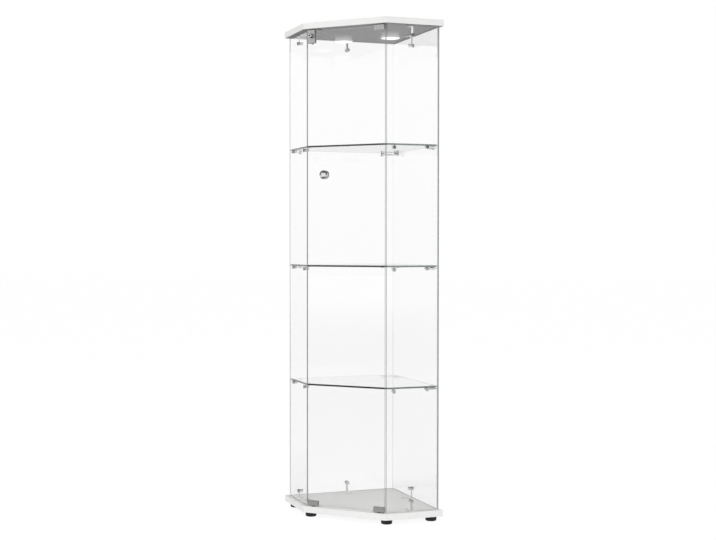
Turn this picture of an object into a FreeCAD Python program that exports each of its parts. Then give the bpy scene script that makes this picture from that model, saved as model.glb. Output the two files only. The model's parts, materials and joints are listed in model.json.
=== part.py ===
import FreeCAD, Part
import os
import re
import Sketcher
from FreeCAD import Placement, Rotation, Vector

# Corner display cabinet: two five-sided boards, four glass panels, a glass door and three glass shelves.
# Millimetres, +Z up. The door faces -Y, the room corner is at +Y, and the origin is on the floor
# under the middle of the boards.

# Driving sizes
SIZES = {
    # Boards. The plan has a right angle at the room corner, two walls, two sides square to them and a front.
    "wall_length": 442,
    "side_length": 217,
    "board_thickness": 22,
    "edge_band_thickness": 1,
    "edge_band_round": 0.7,
    "cabinet_height": 1742,
    # Feet
    "foot_height": 18,
    "foot_top_radius": 20.5,
    "foot_floor_radius": 19.5,
    "foot_round": 2,
    "foot_edge_inset": 32,
    "foot_front_inset": 36,
    "foot_front_spread": 147,
    "foot_corner_inset": 44,
    "foot_recess_radius": 6,
    "foot_recess_depth": 8,
    "foot_screw_radius": 2.3,
    "foot_screw_reach": 14,
    "foot_screw_head_radius": 4.6,
    "foot_screw_head_height": 3.2,
    # Fixed glass
    "glass_thickness": 5,
    "glass_bevel": 0.4,
    "wall_inset": 10.5,
    "side_inset": 15.5,
    "front_inset": 17,
    "setting_pad_thickness": 1,
    "setting_pad_length": 30,
    "setting_pad_inset": 25,
    "panel_top_gap": 0.8,
    "glass_joint_gap": 0.5,
    # Shelves
    "shelf_thickness": 6,
    "lowest_shelf_rise": 431.5,
    "shelf_spacing": 424.5,
    "shelf_glass_gap": 1.5,
    "shelf_front_inset": 24.5,
    "shelf_corner_round": 2,
    # Screw fittings through the glass
    "glass_hole_radius": 3,
    "washer_radius": 6,
    "washer_thickness": 0.8,
    "cap_radius": 6.5,
    "cap_thickness": 2.6,
    "cap_chamfer": 0.7,
    "stud_radius": 2,
    "drum_radius": 4.8,
    "drum_flange_radius": 6.5,
    "drum_flange_thickness": 3,
    "drum_chamfer": 0.6,
    "shelf_drum_length": 10,
    "bracket_drum_length": 12,
    "stud_end_gap": 2,
    "thread_clearance": 0.05,
    "seat_clearance": 0.2,
    # Panel brackets
    "bracket_rise": 35,
    "bracket_width": 7.4,
    "bracket_thickness": 2,
    "bracket_foot_length": 40,
    "bracket_eye_radius": 6,
    "bracket_screw_reach": 34,
    "wall_bracket_along": 201,
    "side_bracket_along": 112,
    # Small countersunk screws in the boards
    "board_screw_radius": 1.7,
    "board_screw_head_radius": 3.4,
    "board_screw_head_height": 1.7,
    "board_screw_reach": 12,
    "drive_recess_radius": 1.5,
    "drive_recess_depth": 1,
    # Shelf supports
    "connector_reach": 40,
    "connector_height": 3.6,
    "connector_thickness": 2,
    "connector_eye_radius": 5,
    "support_drop": 8.5,
    "support_front_distance": 28,
    "support_tab_length": 16,
    "support_width": 9,
    "support_stem_width": 4,
    "support_eye_radius": 5,
    # Door
    "door_setback": 13.5,
    "door_end_gap": 2.5,
    "door_board_gap": 3.5,
    # Door clamps
    "clamp_width": 41,
    "clamp_height": 17,
    "clamp_depth": 15,
    "clamp_web": 2.5,
    "clamp_edge_gap": 1,
    "clamp_round": 2,
    "clamp_pad_thickness": 0.8,
    "clamp_pad_margin": 1,
    "grub_radius": 2.5,
    "grub_spacing": 20,
    "grub_socket_radius": 1.4,
    "grub_socket_depth": 2,
    # Pivots
    "pivot_inset": 7.5,
    "pin_radius": 2.5,
    "pin_depth": 10,
    "pin_collar_radius": 4.3,
    "pin_collar_height": 2,
    "running_clearance": 0.06,
    "fit_clearance": 0.03,
    "bush_radius": 4,
    "bush_flange_radius": 5,
    "bush_flange_height": 1.2,
    "bush_depth": 11,
    # Catch and glide under the lower clamps
    "catch_radius": 6,
    "catch_wall": 1.4,
    "catch_floor": 0.6,
    "catch_gap": 0.3,
    "glide_round": 1,
    # Knob
    "knob_rise": 1181.5,
    "knob_edge_distance": 66,
    "knob_radius": 15.8,
    "knob_length": 10,
    "knob_chamfer": 2,
    "knob_neck_radius": 9,
    "knob_neck_length": 2,
    "knob_cap_radius": 15.3,
    "knob_cap_length": 8,
    "knob_cap_chamfer": 1.6,
    "knob_washer_radius": 8,
    "knob_screw_radius": 2,
    "knob_screw_head_radius": 3.6,
    "knob_screw_head_height": 2.4,
    "knob_screw_recess_gap": 0.6,
    "knob_screw_reach": 6,
    # Lock
    "lock_width": 31,
    "lock_height": 46,
    "lock_front_wall": 4,
    "lock_back_wall": 5,
    "lock_axis_inset": 15,
    "lock_axis_drop": 24,
    "lock_boss_width": 25,
    "lock_boss_drop": 10,
    "lock_barrel_radius": 6,
    "lock_ring_radius": 7.8,
    "lock_ring_length": 13,
    "lock_ring_chamfer": 1,
    "lock_plug_radius": 4.6,
    "lock_plug_stand": 0.4,
    "lock_plug_tail": 1.2,
    "lock_key_slot_width": 1.4,
    "lock_key_slot_length": 6.4,
    "lock_key_slot_depth": 6,
    "cam_thickness": 2,
    "cam_width": 9,
    "cam_reach": 28,
    "cam_gap": 0.5,
    "cam_square": 5,
    "cam_screw_radius": 1.5,
    "cam_screw_head_radius": 3.2,
    "cam_screw_head_height": 1.8,
    "cam_screw_reach": 5,
    "strike_length": 36,
    "strike_width": 24,
    "strike_thickness": 1.2,
    "strike_edge_gap": 1.5,
    "strike_front_margin": 4.5,
    "cam_slot_clearance": 1.2,
    "mortise_depth": 8,
    "strike_screw_margin": 6,
    # Lamps
    "lamp_spread": 92.5,
    "lamp_front_distance": 196,
    "lamp_body_radius": 29.5,
    "lamp_body_height": 18,
    "lamp_rim_radius": 34.5,
    "lamp_rim_height": 4,
    "lamp_wall": 1.6,
    "lamp_lens_radius": 31.5,
    "lamp_lens_edge": 2,
    "lamp_lens_drop": 4,
    "lamp_wire_hole_radius": 4,
    "lamp_screw_distance": 16,
    "lamp_boss_radius": 8,
    "light_board_radius": 24,
    "light_board_thickness": 1.6,
    "light_board_stand": 4,
    "wire_sleeve_wall": 1.2,
}

CORNER_TURN = -135     # degrees: the boards' own axes run along the two walls
CAM_TURN = 90     # degrees: the unlocked cam hangs down
OVERRUN_NAME = "board_thickness"     # how far cuts run past the faces that they leave

doc = FreeCAD.newDocument("CornerDisplayCabinet")

sheet = doc.addObject("Spreadsheet::Sheet", "Sizes")
for row, (alias, size) in enumerate(SIZES.items(), start=1):
    sheet.set(f"A{row}", alias)
    sheet.set(f"B{row}", str(size))
    sheet.setAlias(f"B{row}", alias)
doc.recompute()

layout = doc.addObject("App::VarSet", "Layout")
worked_out = set()


def linked(formula):
    """The formula with each plain name pointed at its cell or its worked out value."""
    def point(match):
        name = match.group()
        if name in SIZES:
            return "Sizes." + name
        if name in worked_out:
            return "Layout." + name
        return name
    return re.sub(r"[a-z_][a-z_0-9]*", point, str(formula))


def derive(name, formula):
    """A size or place that follows from the driving sizes."""
    layout.addProperty("App::PropertyFloat", name)
    layout.setExpression(name, linked(formula))
    worked_out.add(name)


def value(formula):
    """The formula's present number."""
    return float(layout.evalExpression(linked(formula)))


# Places in the plan. Along a wall means measured from the boards' back corner.
derive("half_width", "wall_length / sqrt(2)")
derive("back_y", "(wall_length + side_length) / sqrt(2) / 2")
derive("front_y", "-back_y")
derive("wall_face", "wall_inset + glass_thickness")
derive("side_outer", "wall_length - side_inset")
derive("side_face", "side_outer - glass_thickness")
derive("side_start", "wall_face + glass_joint_gap")
derive("side_end", "side_length + side_inset - front_inset * sqrt(2)")
derive("shelf_back", "wall_face + shelf_glass_gap")
derive("shelf_side", "side_face - shelf_glass_gap")
derive("shelf_front", "wall_length + side_length - shelf_front_inset * sqrt(2) - shelf_side")

# Heights
derive("base_top", "foot_height + board_thickness")
derive("ceiling", "foot_height + cabinet_height - board_thickness")
derive("panel_low", "base_top + setting_pad_thickness")
derive("panel_high", "ceiling - panel_top_gap")
derive("shelf_low", "base_top + lowest_shelf_rise")
derive("shelf_mid", "shelf_low + shelf_spacing")
derive("shelf_high", "shelf_mid + shelf_spacing")
SHELF_LEVELS = {"lower": "shelf_low", "middle": "shelf_mid", "upper": "shelf_high"}
derive("connector_drop", "drum_radius + seat_clearance")

# Door
derive("door_front", "front_y + door_setback")
derive("door_back", "door_front + glass_thickness")
derive("door_half", "back_y - door_back - (side_end + door_end_gap) * sqrt(2)")
derive("door_low", "base_top + door_board_gap + clamp_web")
derive("door_high", "ceiling - door_board_gap - clamp_web")
derive("pivot_x", "door_half - pivot_inset")
derive("pivot_y", "door_front + glass_thickness / 2")
derive("clamp_x", "door_half - clamp_edge_gap - clamp_width / 2")
derive("clamp_slot", "glass_thickness + 2 * clamp_pad_thickness")
derive("clamp_wall", "(clamp_depth - clamp_slot) / 2")
derive("lower_clamp_z", "base_top + door_board_gap")
derive("upper_clamp_z", "ceiling - door_board_gap")

# Lock. The cam hangs behind the housing and turns half round, up into a slot in the top board.
derive("lock_axis_x", "lock_axis_inset - door_half")
derive("lock_axis_z", "ceiling - lock_axis_drop")
derive("lock_top", "ceiling - door_board_gap")
derive("lock_low", "lock_top - lock_height")
derive("lock_front", "door_front - clamp_pad_thickness - lock_front_wall")
derive("lock_back", "door_back + clamp_pad_thickness + lock_back_wall")
derive("lock_notch_low", "lock_axis_z - lock_boss_drop")
derive("cam_front", "lock_back + cam_gap")
derive("cam_back", "cam_front + cam_thickness")
derive("cam_middle_y", "cam_front + cam_thickness / 2")
derive("cam_sweep", "sqrt(cam_reach ^ 2 - (lock_axis_drop - cam_width / 2) ^ 2) + cam_width / 2")
derive("cam_slot_left", "lock_axis_x - cam_width / 2 - cam_slot_clearance")
derive("cam_slot_right", "lock_axis_x + cam_sweep + cam_slot_clearance")
derive("cam_slot_front", "cam_front - cam_slot_clearance")
derive("cam_slot_back", "cam_back + cam_slot_clearance")
derive("strike_left", "cam_slot_left - strike_edge_gap")
derive("strike_front", "cam_slot_front - strike_front_margin")
derive("strike_screw_y", "strike_front + strike_width - strike_screw_margin")

# Knob and lamps
derive("knob_x", "knob_edge_distance - door_half")
derive("knob_z", "base_top + knob_rise")
derive("lamp_y", "front_y + lamp_front_distance")
doc.recompute()


def corner_x(a, b):
    """World x of a point a along the left wall and b along the right wall."""
    return f"((({b}) - ({a})) / sqrt(2))"


def corner_y(a, b):
    return f"(back_y - (({a}) + ({b})) / sqrt(2))"


def left_along(x, y):
    """Distance along the left wall of a world point: the boards' own first coordinate."""
    return f"((back_y - ({y}) - ({x})) / sqrt(2))"


def right_along(x, y):
    return f"((back_y - ({y}) + ({x})) / sqrt(2))"


def place(piece, x, y, z, turn=0, axis=Vector(0, 0, 1)):
    """Bind the piece's place to formulas. The turn is in degrees about the axis."""
    piece.Placement = Placement(Vector(), Rotation(axis, turn))
    piece.setExpression("Placement.Base.x", linked(x))
    piece.setExpression("Placement.Base.y", linked(y))
    piece.setExpression("Placement.Base.z", linked(z))
    return piece


# Building blocks

nodes = {}


def new_body(label, keep=True):
    body = doc.addObject("PartDesign::Body", label)
    body.Label = label
    if keep:
        nodes[label] = body
    return body


def new_sketch(body, name, plane, lift="0"):
    """A sketch on one of the body's own planes, lifted along the plane's normal."""
    sketch = body.newObject("Sketcher::SketchObject", name)
    origin_plane = [item for item in body.Origin.OriginFeatures if item.Role == plane][0]
    sketch.AttachmentSupport = [(origin_plane, "")]
    sketch.MapMode = "FlatFace"
    sketch.setExpression("AttachmentOffset.Base.z", linked(lift))
    return sketch


def fix(sketch, kind, name, formula, *where):
    """A named dimension bound to a formula."""
    index = sketch.addConstraint(Sketcher.Constraint(kind, *where, value(formula)))
    sketch.renameConstraint(index, name)
    sketch.setExpression("Constraints." + name, linked(formula))


def add_outline(sketch, corners, tag="corner"):
    """A closed outline through corners that are pairs of formulas."""
    points = [Vector(value(across), value(up), 0) for across, up in corners]
    first = sketch.GeometryCount
    count = len(points)
    for index, point in enumerate(points):
        sketch.addGeometry(Part.LineSegment(point, points[(index + 1) % count]))
    for index in range(count):
        following = first + (index + 1) % count
        sketch.addConstraint(Sketcher.Constraint("Coincident", first + index, 2, following, 1))
    for index, (across, up) in enumerate(corners):
        fix(sketch, "DistanceX", f"{tag}{index}_across", across, -1, 1, first + index, 1)
        fix(sketch, "DistanceY", f"{tag}{index}_up", up, -1, 1, first + index, 1)


def add_circle(sketch, across, up, radius, tag):
    centre = Vector(value(across), value(up), 0)
    index = sketch.addGeometry(Part.Circle(centre, Vector(0, 0, 1), value(radius)))
    fix(sketch, "DistanceX", f"{tag}_across", across, -1, 1, index, 3)
    fix(sketch, "DistanceY", f"{tag}_up", up, -1, 1, index, 3)
    fix(sketch, "Radius", f"{tag}_radius", radius, index)


def rectangle(left, low, right, high):
    return [(left, low), (right, low), (right, high), (left, high)]


def add_pad(body, sketch, length, name="Pad", backwards=False, centred=False):
    pad = body.newObject("PartDesign::Pad", name)
    pad.Profile = sketch
    pad.setExpression("Length", linked(length))
    pad.Reversed = backwards
    pad.Midplane = centred
    doc.recompute()
    return pad


def add_pocket(body, sketch, name, depth=None, backwards=False):
    """Cut the sketch into the body, right through both ways where no depth is given."""
    pocket = body.newObject("PartDesign::Pocket", name)
    pocket.Profile = sketch
    if depth is None:
        pocket.Type = "ThroughAll"
        pocket.Midplane = True
    else:
        pocket.setExpression("Length", linked(depth))
        pocket.Reversed = backwards
    before = pocket.BaseFeature.Shape.Volume
    doc.recompute()
    if not pocket.Shape.Volume < before:
        raise ValueError(f"{body.Label}: {name} cuts nothing")
    return pocket


def drill(body, name, spots, radius, plane="XY_Plane", lift="0", depth=None, backwards=False):
    sketch = new_sketch(body, name + "Centres", plane, lift)
    for index, (across, up) in enumerate(spots):
        add_circle(sketch, across, up, radius, f"hole{index}")
    return add_pocket(body, sketch, name, depth, backwards)


def cut_outline(body, name, corners, plane, lift="0", depth=None, backwards=False):
    sketch = new_sketch(body, name + "Outline", plane, lift)
    add_outline(sketch, corners)
    return add_pocket(body, sketch, name, depth, backwards)


def round_edges(body, base, radius, name, test):
    """Round the edges of the last feature that pass the test."""
    fillet = body.newObject("PartDesign::Fillet", name)
    chosen = [f"Edge{n}" for n, edge in enumerate(base.Shape.Edges, start=1) if test(edge)]
    fillet.Base = (base, chosen)
    fillet.setExpression("Radius", linked(radius))
    doc.recompute()
    return fillet


def sink_edges(body, base, size, test, name="Countersink"):
    """Widen the rim of a hole for a sunk screw head."""
    chamfer = body.newObject("PartDesign::Chamfer", name)
    chosen = [f"Edge{n}" for n, edge in enumerate(base.Shape.Edges, start=1) if test(edge)]
    chamfer.Base = (base, chosen)
    chamfer.setExpression("Size", linked(size))
    doc.recompute()
    return chamfer


def bevel_all(body, base, size, name="Bevel"):
    chamfer = body.newObject("PartDesign::Chamfer", name)
    chamfer.Base = (base, ["Edge1"])
    chamfer.UseAllEdges = True
    chamfer.setExpression("Size", linked(size))
    doc.recompute()
    return chamfer


def is_upright(edge):
    """True for a straight edge that runs along Z."""
    start, end = edge.Vertexes[0].Point, edge.Vertexes[-1].Point
    run = end - start
    return run.Length > 0 and abs(run.z) / run.Length > UPRIGHT_SHARE


UPRIGHT_SHARE = 0.999


def turned(label, profile, plane="XZ_Plane", keep=True):
    """A round piece: the profile's pairs are radius and distance along the piece's axis."""
    body = new_body(label, keep)
    sketch = new_sketch(body, "Profile", plane)
    add_outline(sketch, profile)
    turn = body.newObject("PartDesign::Revolution", "Turning")
    turn.Profile = sketch
    turn.ReferenceAxis = (sketch, ["V_Axis"])
    turn.Angle = 360
    doc.recompute()
    return body


def group(label, copies):
    """One node of several separate solids: copies pairs each template with its place."""
    links = []
    for index, (template, x, y, z, turn, axis) in enumerate(copies):
        link = doc.addObject("App::Link", f"{label}_{index}")
        link.LinkedObject = template
        link.LinkTransform = False
        place(link, x, y, z, turn, axis)
        links.append(link)
    compound = doc.addObject("Part::Compound", label)
    compound.Label = label
    compound.Links = links
    nodes[label] = compound
    return compound


UP = Vector(0, 0, 1)
ALONG_X = Vector(1, 0, 0)
ALONG_Y = Vector(0, 1, 0)


# Where the screw fittings go through the panels. Each wall panel has its own turn, which points the
# fittings' +Y into the cabinet, and its outer face in the boards' own coordinates.
PANELS = {
    "back_left": {"turn": -135, "spot": lambda along: (along, "wall_inset")},
    "back_right": {"turn": 135, "spot": lambda along: ("wall_inset", along)},
    "side_left": {"turn": -45, "spot": lambda along: ("side_outer", along)},
    "side_right": {"turn": 45, "spot": lambda along: (along, "side_outer")},
}
FAR_HOLE = "(side_face - connector_reach)"
NEAR_HOLE = "(wall_face + connector_reach)"
FRONT_HOLE = "(side_end - support_front_distance)"
CORNER_HOLES = {
    "back_left": [NEAR_HOLE, FAR_HOLE],
    "back_right": [NEAR_HOLE, FAR_HOLE],
    "side_left": [NEAR_HOLE],
    "side_right": [NEAR_HOLE],
}
SIDE_PANELS = ("side_left", "side_right")


def bracket_along(panel):
    return "side_bracket_along" if panel in SIDE_PANELS else "wall_bracket_along"


def bracket_holes(panel):
    along = bracket_along(panel)
    return [(along, "base_top + bracket_rise"), (along, "ceiling - bracket_rise")]


def connector_holes(panel, shelf):
    return [(along, f"{shelf} - connector_drop") for along in CORNER_HOLES[panel]]


def support_holes(panel, shelf):
    return [(FRONT_HOLE, f"{shelf} - support_drop")] if panel in SIDE_PANELS else []


def on_panel(template, panel, along, height, inwards="0"):
    """A copy of a fitting at a hole of a panel, moved inwards from the outer face."""
    a, b = PANELS[panel]["spot"](along)
    turn = PANELS[panel]["turn"]
    step = {
        "back_left": (a, f"{b} + {inwards}"),
        "back_right": (f"{a} + {inwards}", b),
        "side_left": (f"{a} - ({inwards})", b),
        "side_right": (a, f"{b} - ({inwards})"),
    }[panel]
    return (template, corner_x(*step), corner_y(*step), height, turn, UP)


# Boards

BOARD_OUTLINE = [
    ("0", "0"),
    ("wall_length", "0"),
    ("wall_length", "side_length"),
    ("side_length", "wall_length"),
    ("0", "wall_length"),
]


def inner_outline(inset):
    """The boards' outline moved inwards."""
    far = f"wall_length - {inset}"
    front = f"side_length - {inset} * (sqrt(2) - 1)"
    return [(inset, inset), (far, inset), (far, front), (front, far), (inset, far)]


def world_spot(x, y):
    """A world place in the boards' own coordinates."""
    return (left_along(x, y), right_along(x, y))


def foot_spots():
    side = "wall_length - foot_edge_inset"
    front = "front_y + foot_front_inset"
    return {
        "foot_back": ("foot_corner_inset", "foot_corner_inset"),
        "foot_left": (side, "foot_edge_inset"),
        "foot_right": ("foot_edge_inset", side),
        "foot_front_left": world_spot("-foot_front_spread", front),
        "foot_front_right": world_spot("foot_front_spread", front),
    }


def bracket_screw_spots():
    """Screws through the feet of the panel brackets, in the boards' own coordinates."""
    reach = "wall_face + washer_thickness + bracket_screw_reach"
    side = "side_face - washer_thickness - bracket_screw_reach"
    return [
        ("wall_bracket_along", reach),
        (reach, "wall_bracket_along"),
        (side, "side_bracket_along"),
        ("side_bracket_along", side),
    ]


LAMP_SIDES = ("-lamp_spread", "lamp_spread")
STRIKE_SCREWS_X = ("strike_left + strike_screw_margin", "strike_left + strike_length - strike_screw_margin")


def make_board(label, height):
    body = new_body(label)
    sketch = new_sketch(body, "Outline", "XY_Plane")
    add_outline(sketch, inner_outline("edge_band_thickness"))
    add_pad(body, sketch, "board_thickness")
    place(body, "0", "back_y", height, CORNER_TURN)
    return body


def make_band(label, height):
    """The band glued round the board's five edges, with its outer edges rounded."""
    body = new_body(label)
    sketch = new_sketch(body, "Outline", "XY_Plane")
    add_outline(sketch, BOARD_OUTLINE, "outer")
    add_outline(sketch, inner_outline("edge_band_thickness"), "inner")
    pad = add_pad(body, sketch, "board_thickness")
    middle = pad.Shape.BoundBox.Center

    def faces_out(face):
        normal = face.normalAt(0, 0)
        return abs(normal.z) < 1 - UPRIGHT_SHARE and normal.dot(face.CenterOfMass - middle) > 0

    outer = [f"Face{n}" for n, face in enumerate(pad.Shape.Faces, start=1) if faces_out(face)]
    fillet = body.newObject("PartDesign::Fillet", "Rounded")
    fillet.Base = (pad, outer)
    fillet.setExpression("Radius", linked("edge_band_round"))
    place(body, "0", "back_y", height, CORNER_TURN)
    return body


base_board = make_board("base_board", "foot_height")
make_band("base_edge_band", "foot_height")
top_board = make_board("top_board", "ceiling")
make_band("top_edge_band", "ceiling")

# Holes in the boards. Screw holes are blind, and the drawing of each board is seen from above.
SCREW_HOLE = "board_screw_radius + thread_clearance"
drill(base_board, "BracketHoles", bracket_screw_spots(), SCREW_HOLE,
      lift="board_thickness", depth="board_screw_reach")
drill(base_board, "FootHoles", foot_spots().values(), "foot_screw_radius + thread_clearance",
      depth="foot_screw_reach", backwards=True)
drill(base_board, "PivotHole", [world_spot("pivot_x", "pivot_y")], "bush_radius + fit_clearance",
      lift="board_thickness", depth="bush_depth")
drill(top_board, "BracketHoles", bracket_screw_spots(), SCREW_HOLE,
      depth="board_screw_reach", backwards=True)
drill(top_board, "PivotHole", [world_spot("pivot_x", "pivot_y")], "bush_radius + fit_clearance",
      depth="bush_depth", backwards=True)
drill(top_board, "WireHoles", [world_spot(x, "lamp_y") for x in LAMP_SIDES],
      "lamp_wire_hole_radius + wire_sleeve_wall + fit_clearance")
lamp_screws = [(f"({x}) + {side}lamp_screw_distance", "lamp_y") for x in LAMP_SIDES for side in ("", "-")]
drill(top_board, "LampHoles", [world_spot(*spot) for spot in lamp_screws], SCREW_HOLE,
      depth="board_screw_reach", backwards=True)
strike_screws = [(x, "strike_screw_y") for x in STRIKE_SCREWS_X]
drill(top_board, "StrikeHoles", [world_spot(*spot) for spot in strike_screws], SCREW_HOLE,
      depth="board_screw_reach", backwards=True)
mortise = rectangle("cam_slot_left", "cam_slot_front", "cam_slot_right", "cam_slot_back")
cut_outline(top_board, "Mortise", [world_spot(*corner) for corner in mortise], "XY_Plane",
            depth="mortise_depth", backwards=True)


# Feet: tapered black glides, each screwed up into the base board

FOOT_PROFILE = [
    ("foot_screw_radius + thread_clearance", "foot_recess_depth"),
    ("foot_recess_radius", "foot_recess_depth"),
    ("foot_recess_radius", "0"),
    ("foot_floor_radius - foot_round", "0"),
    ("foot_floor_radius", "foot_round"),
    ("foot_top_radius", "foot_height - foot_round"),
    ("foot_top_radius", "foot_height"),
    ("foot_screw_radius + thread_clearance", "foot_height"),
]
for foot_name, spot in foot_spots().items():
    foot = turned(foot_name, FOOT_PROFILE)
    place(foot, corner_x(*spot), corner_y(*spot), "0")

foot_screw = turned("foot_screw", [
    ("0", "0"),
    ("foot_screw_head_radius", "0"),
    ("foot_screw_head_radius", "foot_screw_head_height"),
    ("foot_screw_radius", "foot_screw_head_height"),
    ("foot_screw_radius", "foot_height - foot_recess_depth + foot_screw_head_height + foot_screw_reach"
                          " - stud_end_gap"),
    ("0", "foot_height - foot_recess_depth + foot_screw_head_height + foot_screw_reach - stud_end_gap"),
], keep=False)
group("foot_screws", [
    (foot_screw, corner_x(*spot), corner_y(*spot), "foot_recess_depth - foot_screw_head_height", 0, UP)
    for spot in foot_spots().values()
])


# Glass panels. Each sketch is in the plane of the panel's outer face.

def glass_panel(panel, left, right, mirrored):
    """A panel from left to right along its wall, drilled for its fittings."""
    body = new_body("glass_" + panel)
    sign = "-" if mirrored else ""
    ends = [f"{sign}({left})", f"{sign}({right})"]
    if mirrored:
        ends.reverse()
    sketch = new_sketch(body, "Outline", "XZ_Plane")
    add_outline(sketch, rectangle(ends[0], "panel_low", ends[1], "panel_high"))
    pad = add_pad(body, sketch, "glass_thickness", backwards=True)
    bevel_all(body, pad, "glass_bevel")
    holes = bracket_holes(panel)
    for shelf in SHELF_LEVELS.values():
        holes += connector_holes(panel, shelf) + support_holes(panel, shelf)
    drill(body, "FittingHoles", [(f"{sign}{along}", height) for along, height in holes],
          "glass_hole_radius", plane="XZ_Plane")
    a, b = PANELS[panel]["spot"]("0")
    place(body, corner_x(a, b), corner_y(a, b), "0", PANELS[panel]["turn"])


glass_panel("back_left", "wall_inset", "side_outer", mirrored=False)
glass_panel("back_right", "wall_face + glass_joint_gap", "side_outer", mirrored=True)
glass_panel("side_left", "side_start", "side_end", mirrored=False)
glass_panel("side_right", "side_start", "side_end", mirrored=True)

# Clear pads under the panels, two to a panel
pad_template = doc.addObject("Part::Box", "SettingPad")
pad_template.setExpression("Length", linked("setting_pad_length"))
pad_template.setExpression("Width", linked("glass_thickness"))
pad_template.setExpression("Height", linked("setting_pad_thickness"))
PAD_ENDS = {
    "back_left": ("wall_inset", "side_outer"),
    "back_right": ("wall_face + glass_joint_gap", "side_outer"),
    "side_left": ("side_start", "side_end"),
    "side_right": ("side_start", "side_end"),
}


def setting_pads():
    copies = []
    for panel, (start, end) in PAD_ENDS.items():
        along_first = f"({start} + setting_pad_inset)"
        along_last = f"({end} - setting_pad_inset - setting_pad_length)"
        for along in (along_first, along_last):
            if panel in ("back_right", "side_right"):
                along = f"({along} + setting_pad_length)"
            copies.append(on_panel(pad_template, panel, along, "base_top"))
    return copies


group("setting_pads", setting_pads())


# Shelves

def make_shelf(name, height):
    body = new_body(name)
    sketch = new_sketch(body, "Outline", "XY_Plane")
    add_outline(sketch, [
        ("shelf_back", "shelf_back"),
        ("shelf_side", "shelf_back"),
        ("shelf_side", "shelf_front"),
        ("shelf_front", "shelf_side"),
        ("shelf_back", "shelf_side"),
    ])
    pad = add_pad(body, sketch, "shelf_thickness")
    rounded = round_edges(body, pad, "shelf_corner_round", "Corners", is_upright)
    bevel_all(body, rounded, "glass_bevel")
    place(body, "0", "back_y", height, CORNER_TURN)


for level, height in SHELF_LEVELS.items():
    make_shelf("shelf_" + level, height)


# Screw fittings. Their axis runs along +Y, into the cabinet, from the outer face of the glass at zero.

derive("washer_out", "-washer_thickness")
derive("glass_in", "glass_thickness")
derive("plate_out", "glass_in + washer_thickness")
derive("shelf_drum_out", "plate_out + connector_thickness")
derive("bracket_drum_out", "plate_out + bracket_thickness")
doc.recompute()


def cap_screw(label, drum_out, drum_length):
    """A flat round cap outside the glass with its stud, which ends inside the drum."""
    return turned(label, [
        ("0", "washer_out - cap_thickness"),
        ("cap_radius - cap_chamfer", "washer_out - cap_thickness"),
        ("cap_radius", "washer_out - cap_thickness + cap_chamfer"),
        ("cap_radius", "washer_out"),
        ("stud_radius", "washer_out"),
        ("stud_radius", f"{drum_out} + {drum_length} - drum_flange_thickness - stud_end_gap"),
        ("0", f"{drum_out} + {drum_length} - drum_flange_thickness - stud_end_gap"),
    ], plane="XY_Plane", keep=False)


def drum_nut(label, out, length, flange):
    """A drum with a blind bore for the stud. The bracket's drum ends in a wider flange."""
    end = f"{out} + {length}"
    bore = "stud_radius + thread_clearance"
    bore_end = f"{end} - drum_flange_thickness"
    profile = [
        (bore, out),
        ("drum_radius", out),
        ("drum_radius", f"{end} - drum_chamfer"),
        ("drum_radius - drum_chamfer", end),
        ("0", end),
        ("0", bore_end),
        (bore, bore_end),
    ]
    if flange:
        profile[2:4] = [
            ("drum_radius", bore_end),
            ("drum_flange_radius - drum_chamfer", bore_end),
            ("drum_flange_radius", f"{bore_end} + drum_chamfer"),
            ("drum_flange_radius", f"{end} - drum_chamfer"),
            ("drum_flange_radius - drum_chamfer", end),
        ]
    return turned(label, profile, plane="XY_Plane", keep=False)


bracket_cap = cap_screw("bracket_cap", "bracket_drum_out", "bracket_drum_length")
shelf_cap = cap_screw("shelf_cap", "shelf_drum_out", "shelf_drum_length")
bracket_drum = drum_nut("bracket_drum", "bracket_drum_out", "bracket_drum_length", flange=True)
shelf_drum = drum_nut("shelf_drum", "shelf_drum_out", "shelf_drum_length", flange=False)
washer = turned("washer", [
    ("stud_radius + thread_clearance", "0"),
    ("washer_radius", "0"),
    ("washer_radius", "washer_thickness"),
    ("stud_radius + thread_clearance", "washer_thickness"),
], plane="XY_Plane", keep=False)
small_washer = turned("small_washer", [
    ("stud_radius + thread_clearance", "0"),
    ("drum_radius", "0"),
    ("drum_radius", "washer_thickness"),
    ("stud_radius + thread_clearance", "washer_thickness"),
], plane="XY_Plane", keep=False)


def everywhere(template, holes, inwards="0"):
    return [
        on_panel(template, panel, along, f"({height})", inwards)
        for panel in PANELS
        for along, height in holes(panel)
    ]


def shelf_holes(panel):
    found = []
    for shelf in SHELF_LEVELS.values():
        found += connector_holes(panel, shelf) + support_holes(panel, shelf)
    return found


group("bracket_cap_screws", everywhere(bracket_cap, bracket_holes))
group("bracket_drum_nuts", everywhere(bracket_drum, bracket_holes))
group("shelf_cap_screws", everywhere(shelf_cap, shelf_holes))
group("shelf_drum_nuts", everywhere(shelf_drum, shelf_holes))
group("clear_washers",
      everywhere(washer, bracket_holes, "washer_out")
      + everywhere(washer, bracket_holes, "glass_in")
      + everywhere(small_washer, shelf_holes, "washer_out")
      + everywhere(small_washer, shelf_holes, "glass_in"))


# Panel brackets: an upright strip with an eye at the glass and a foot on the board

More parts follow.
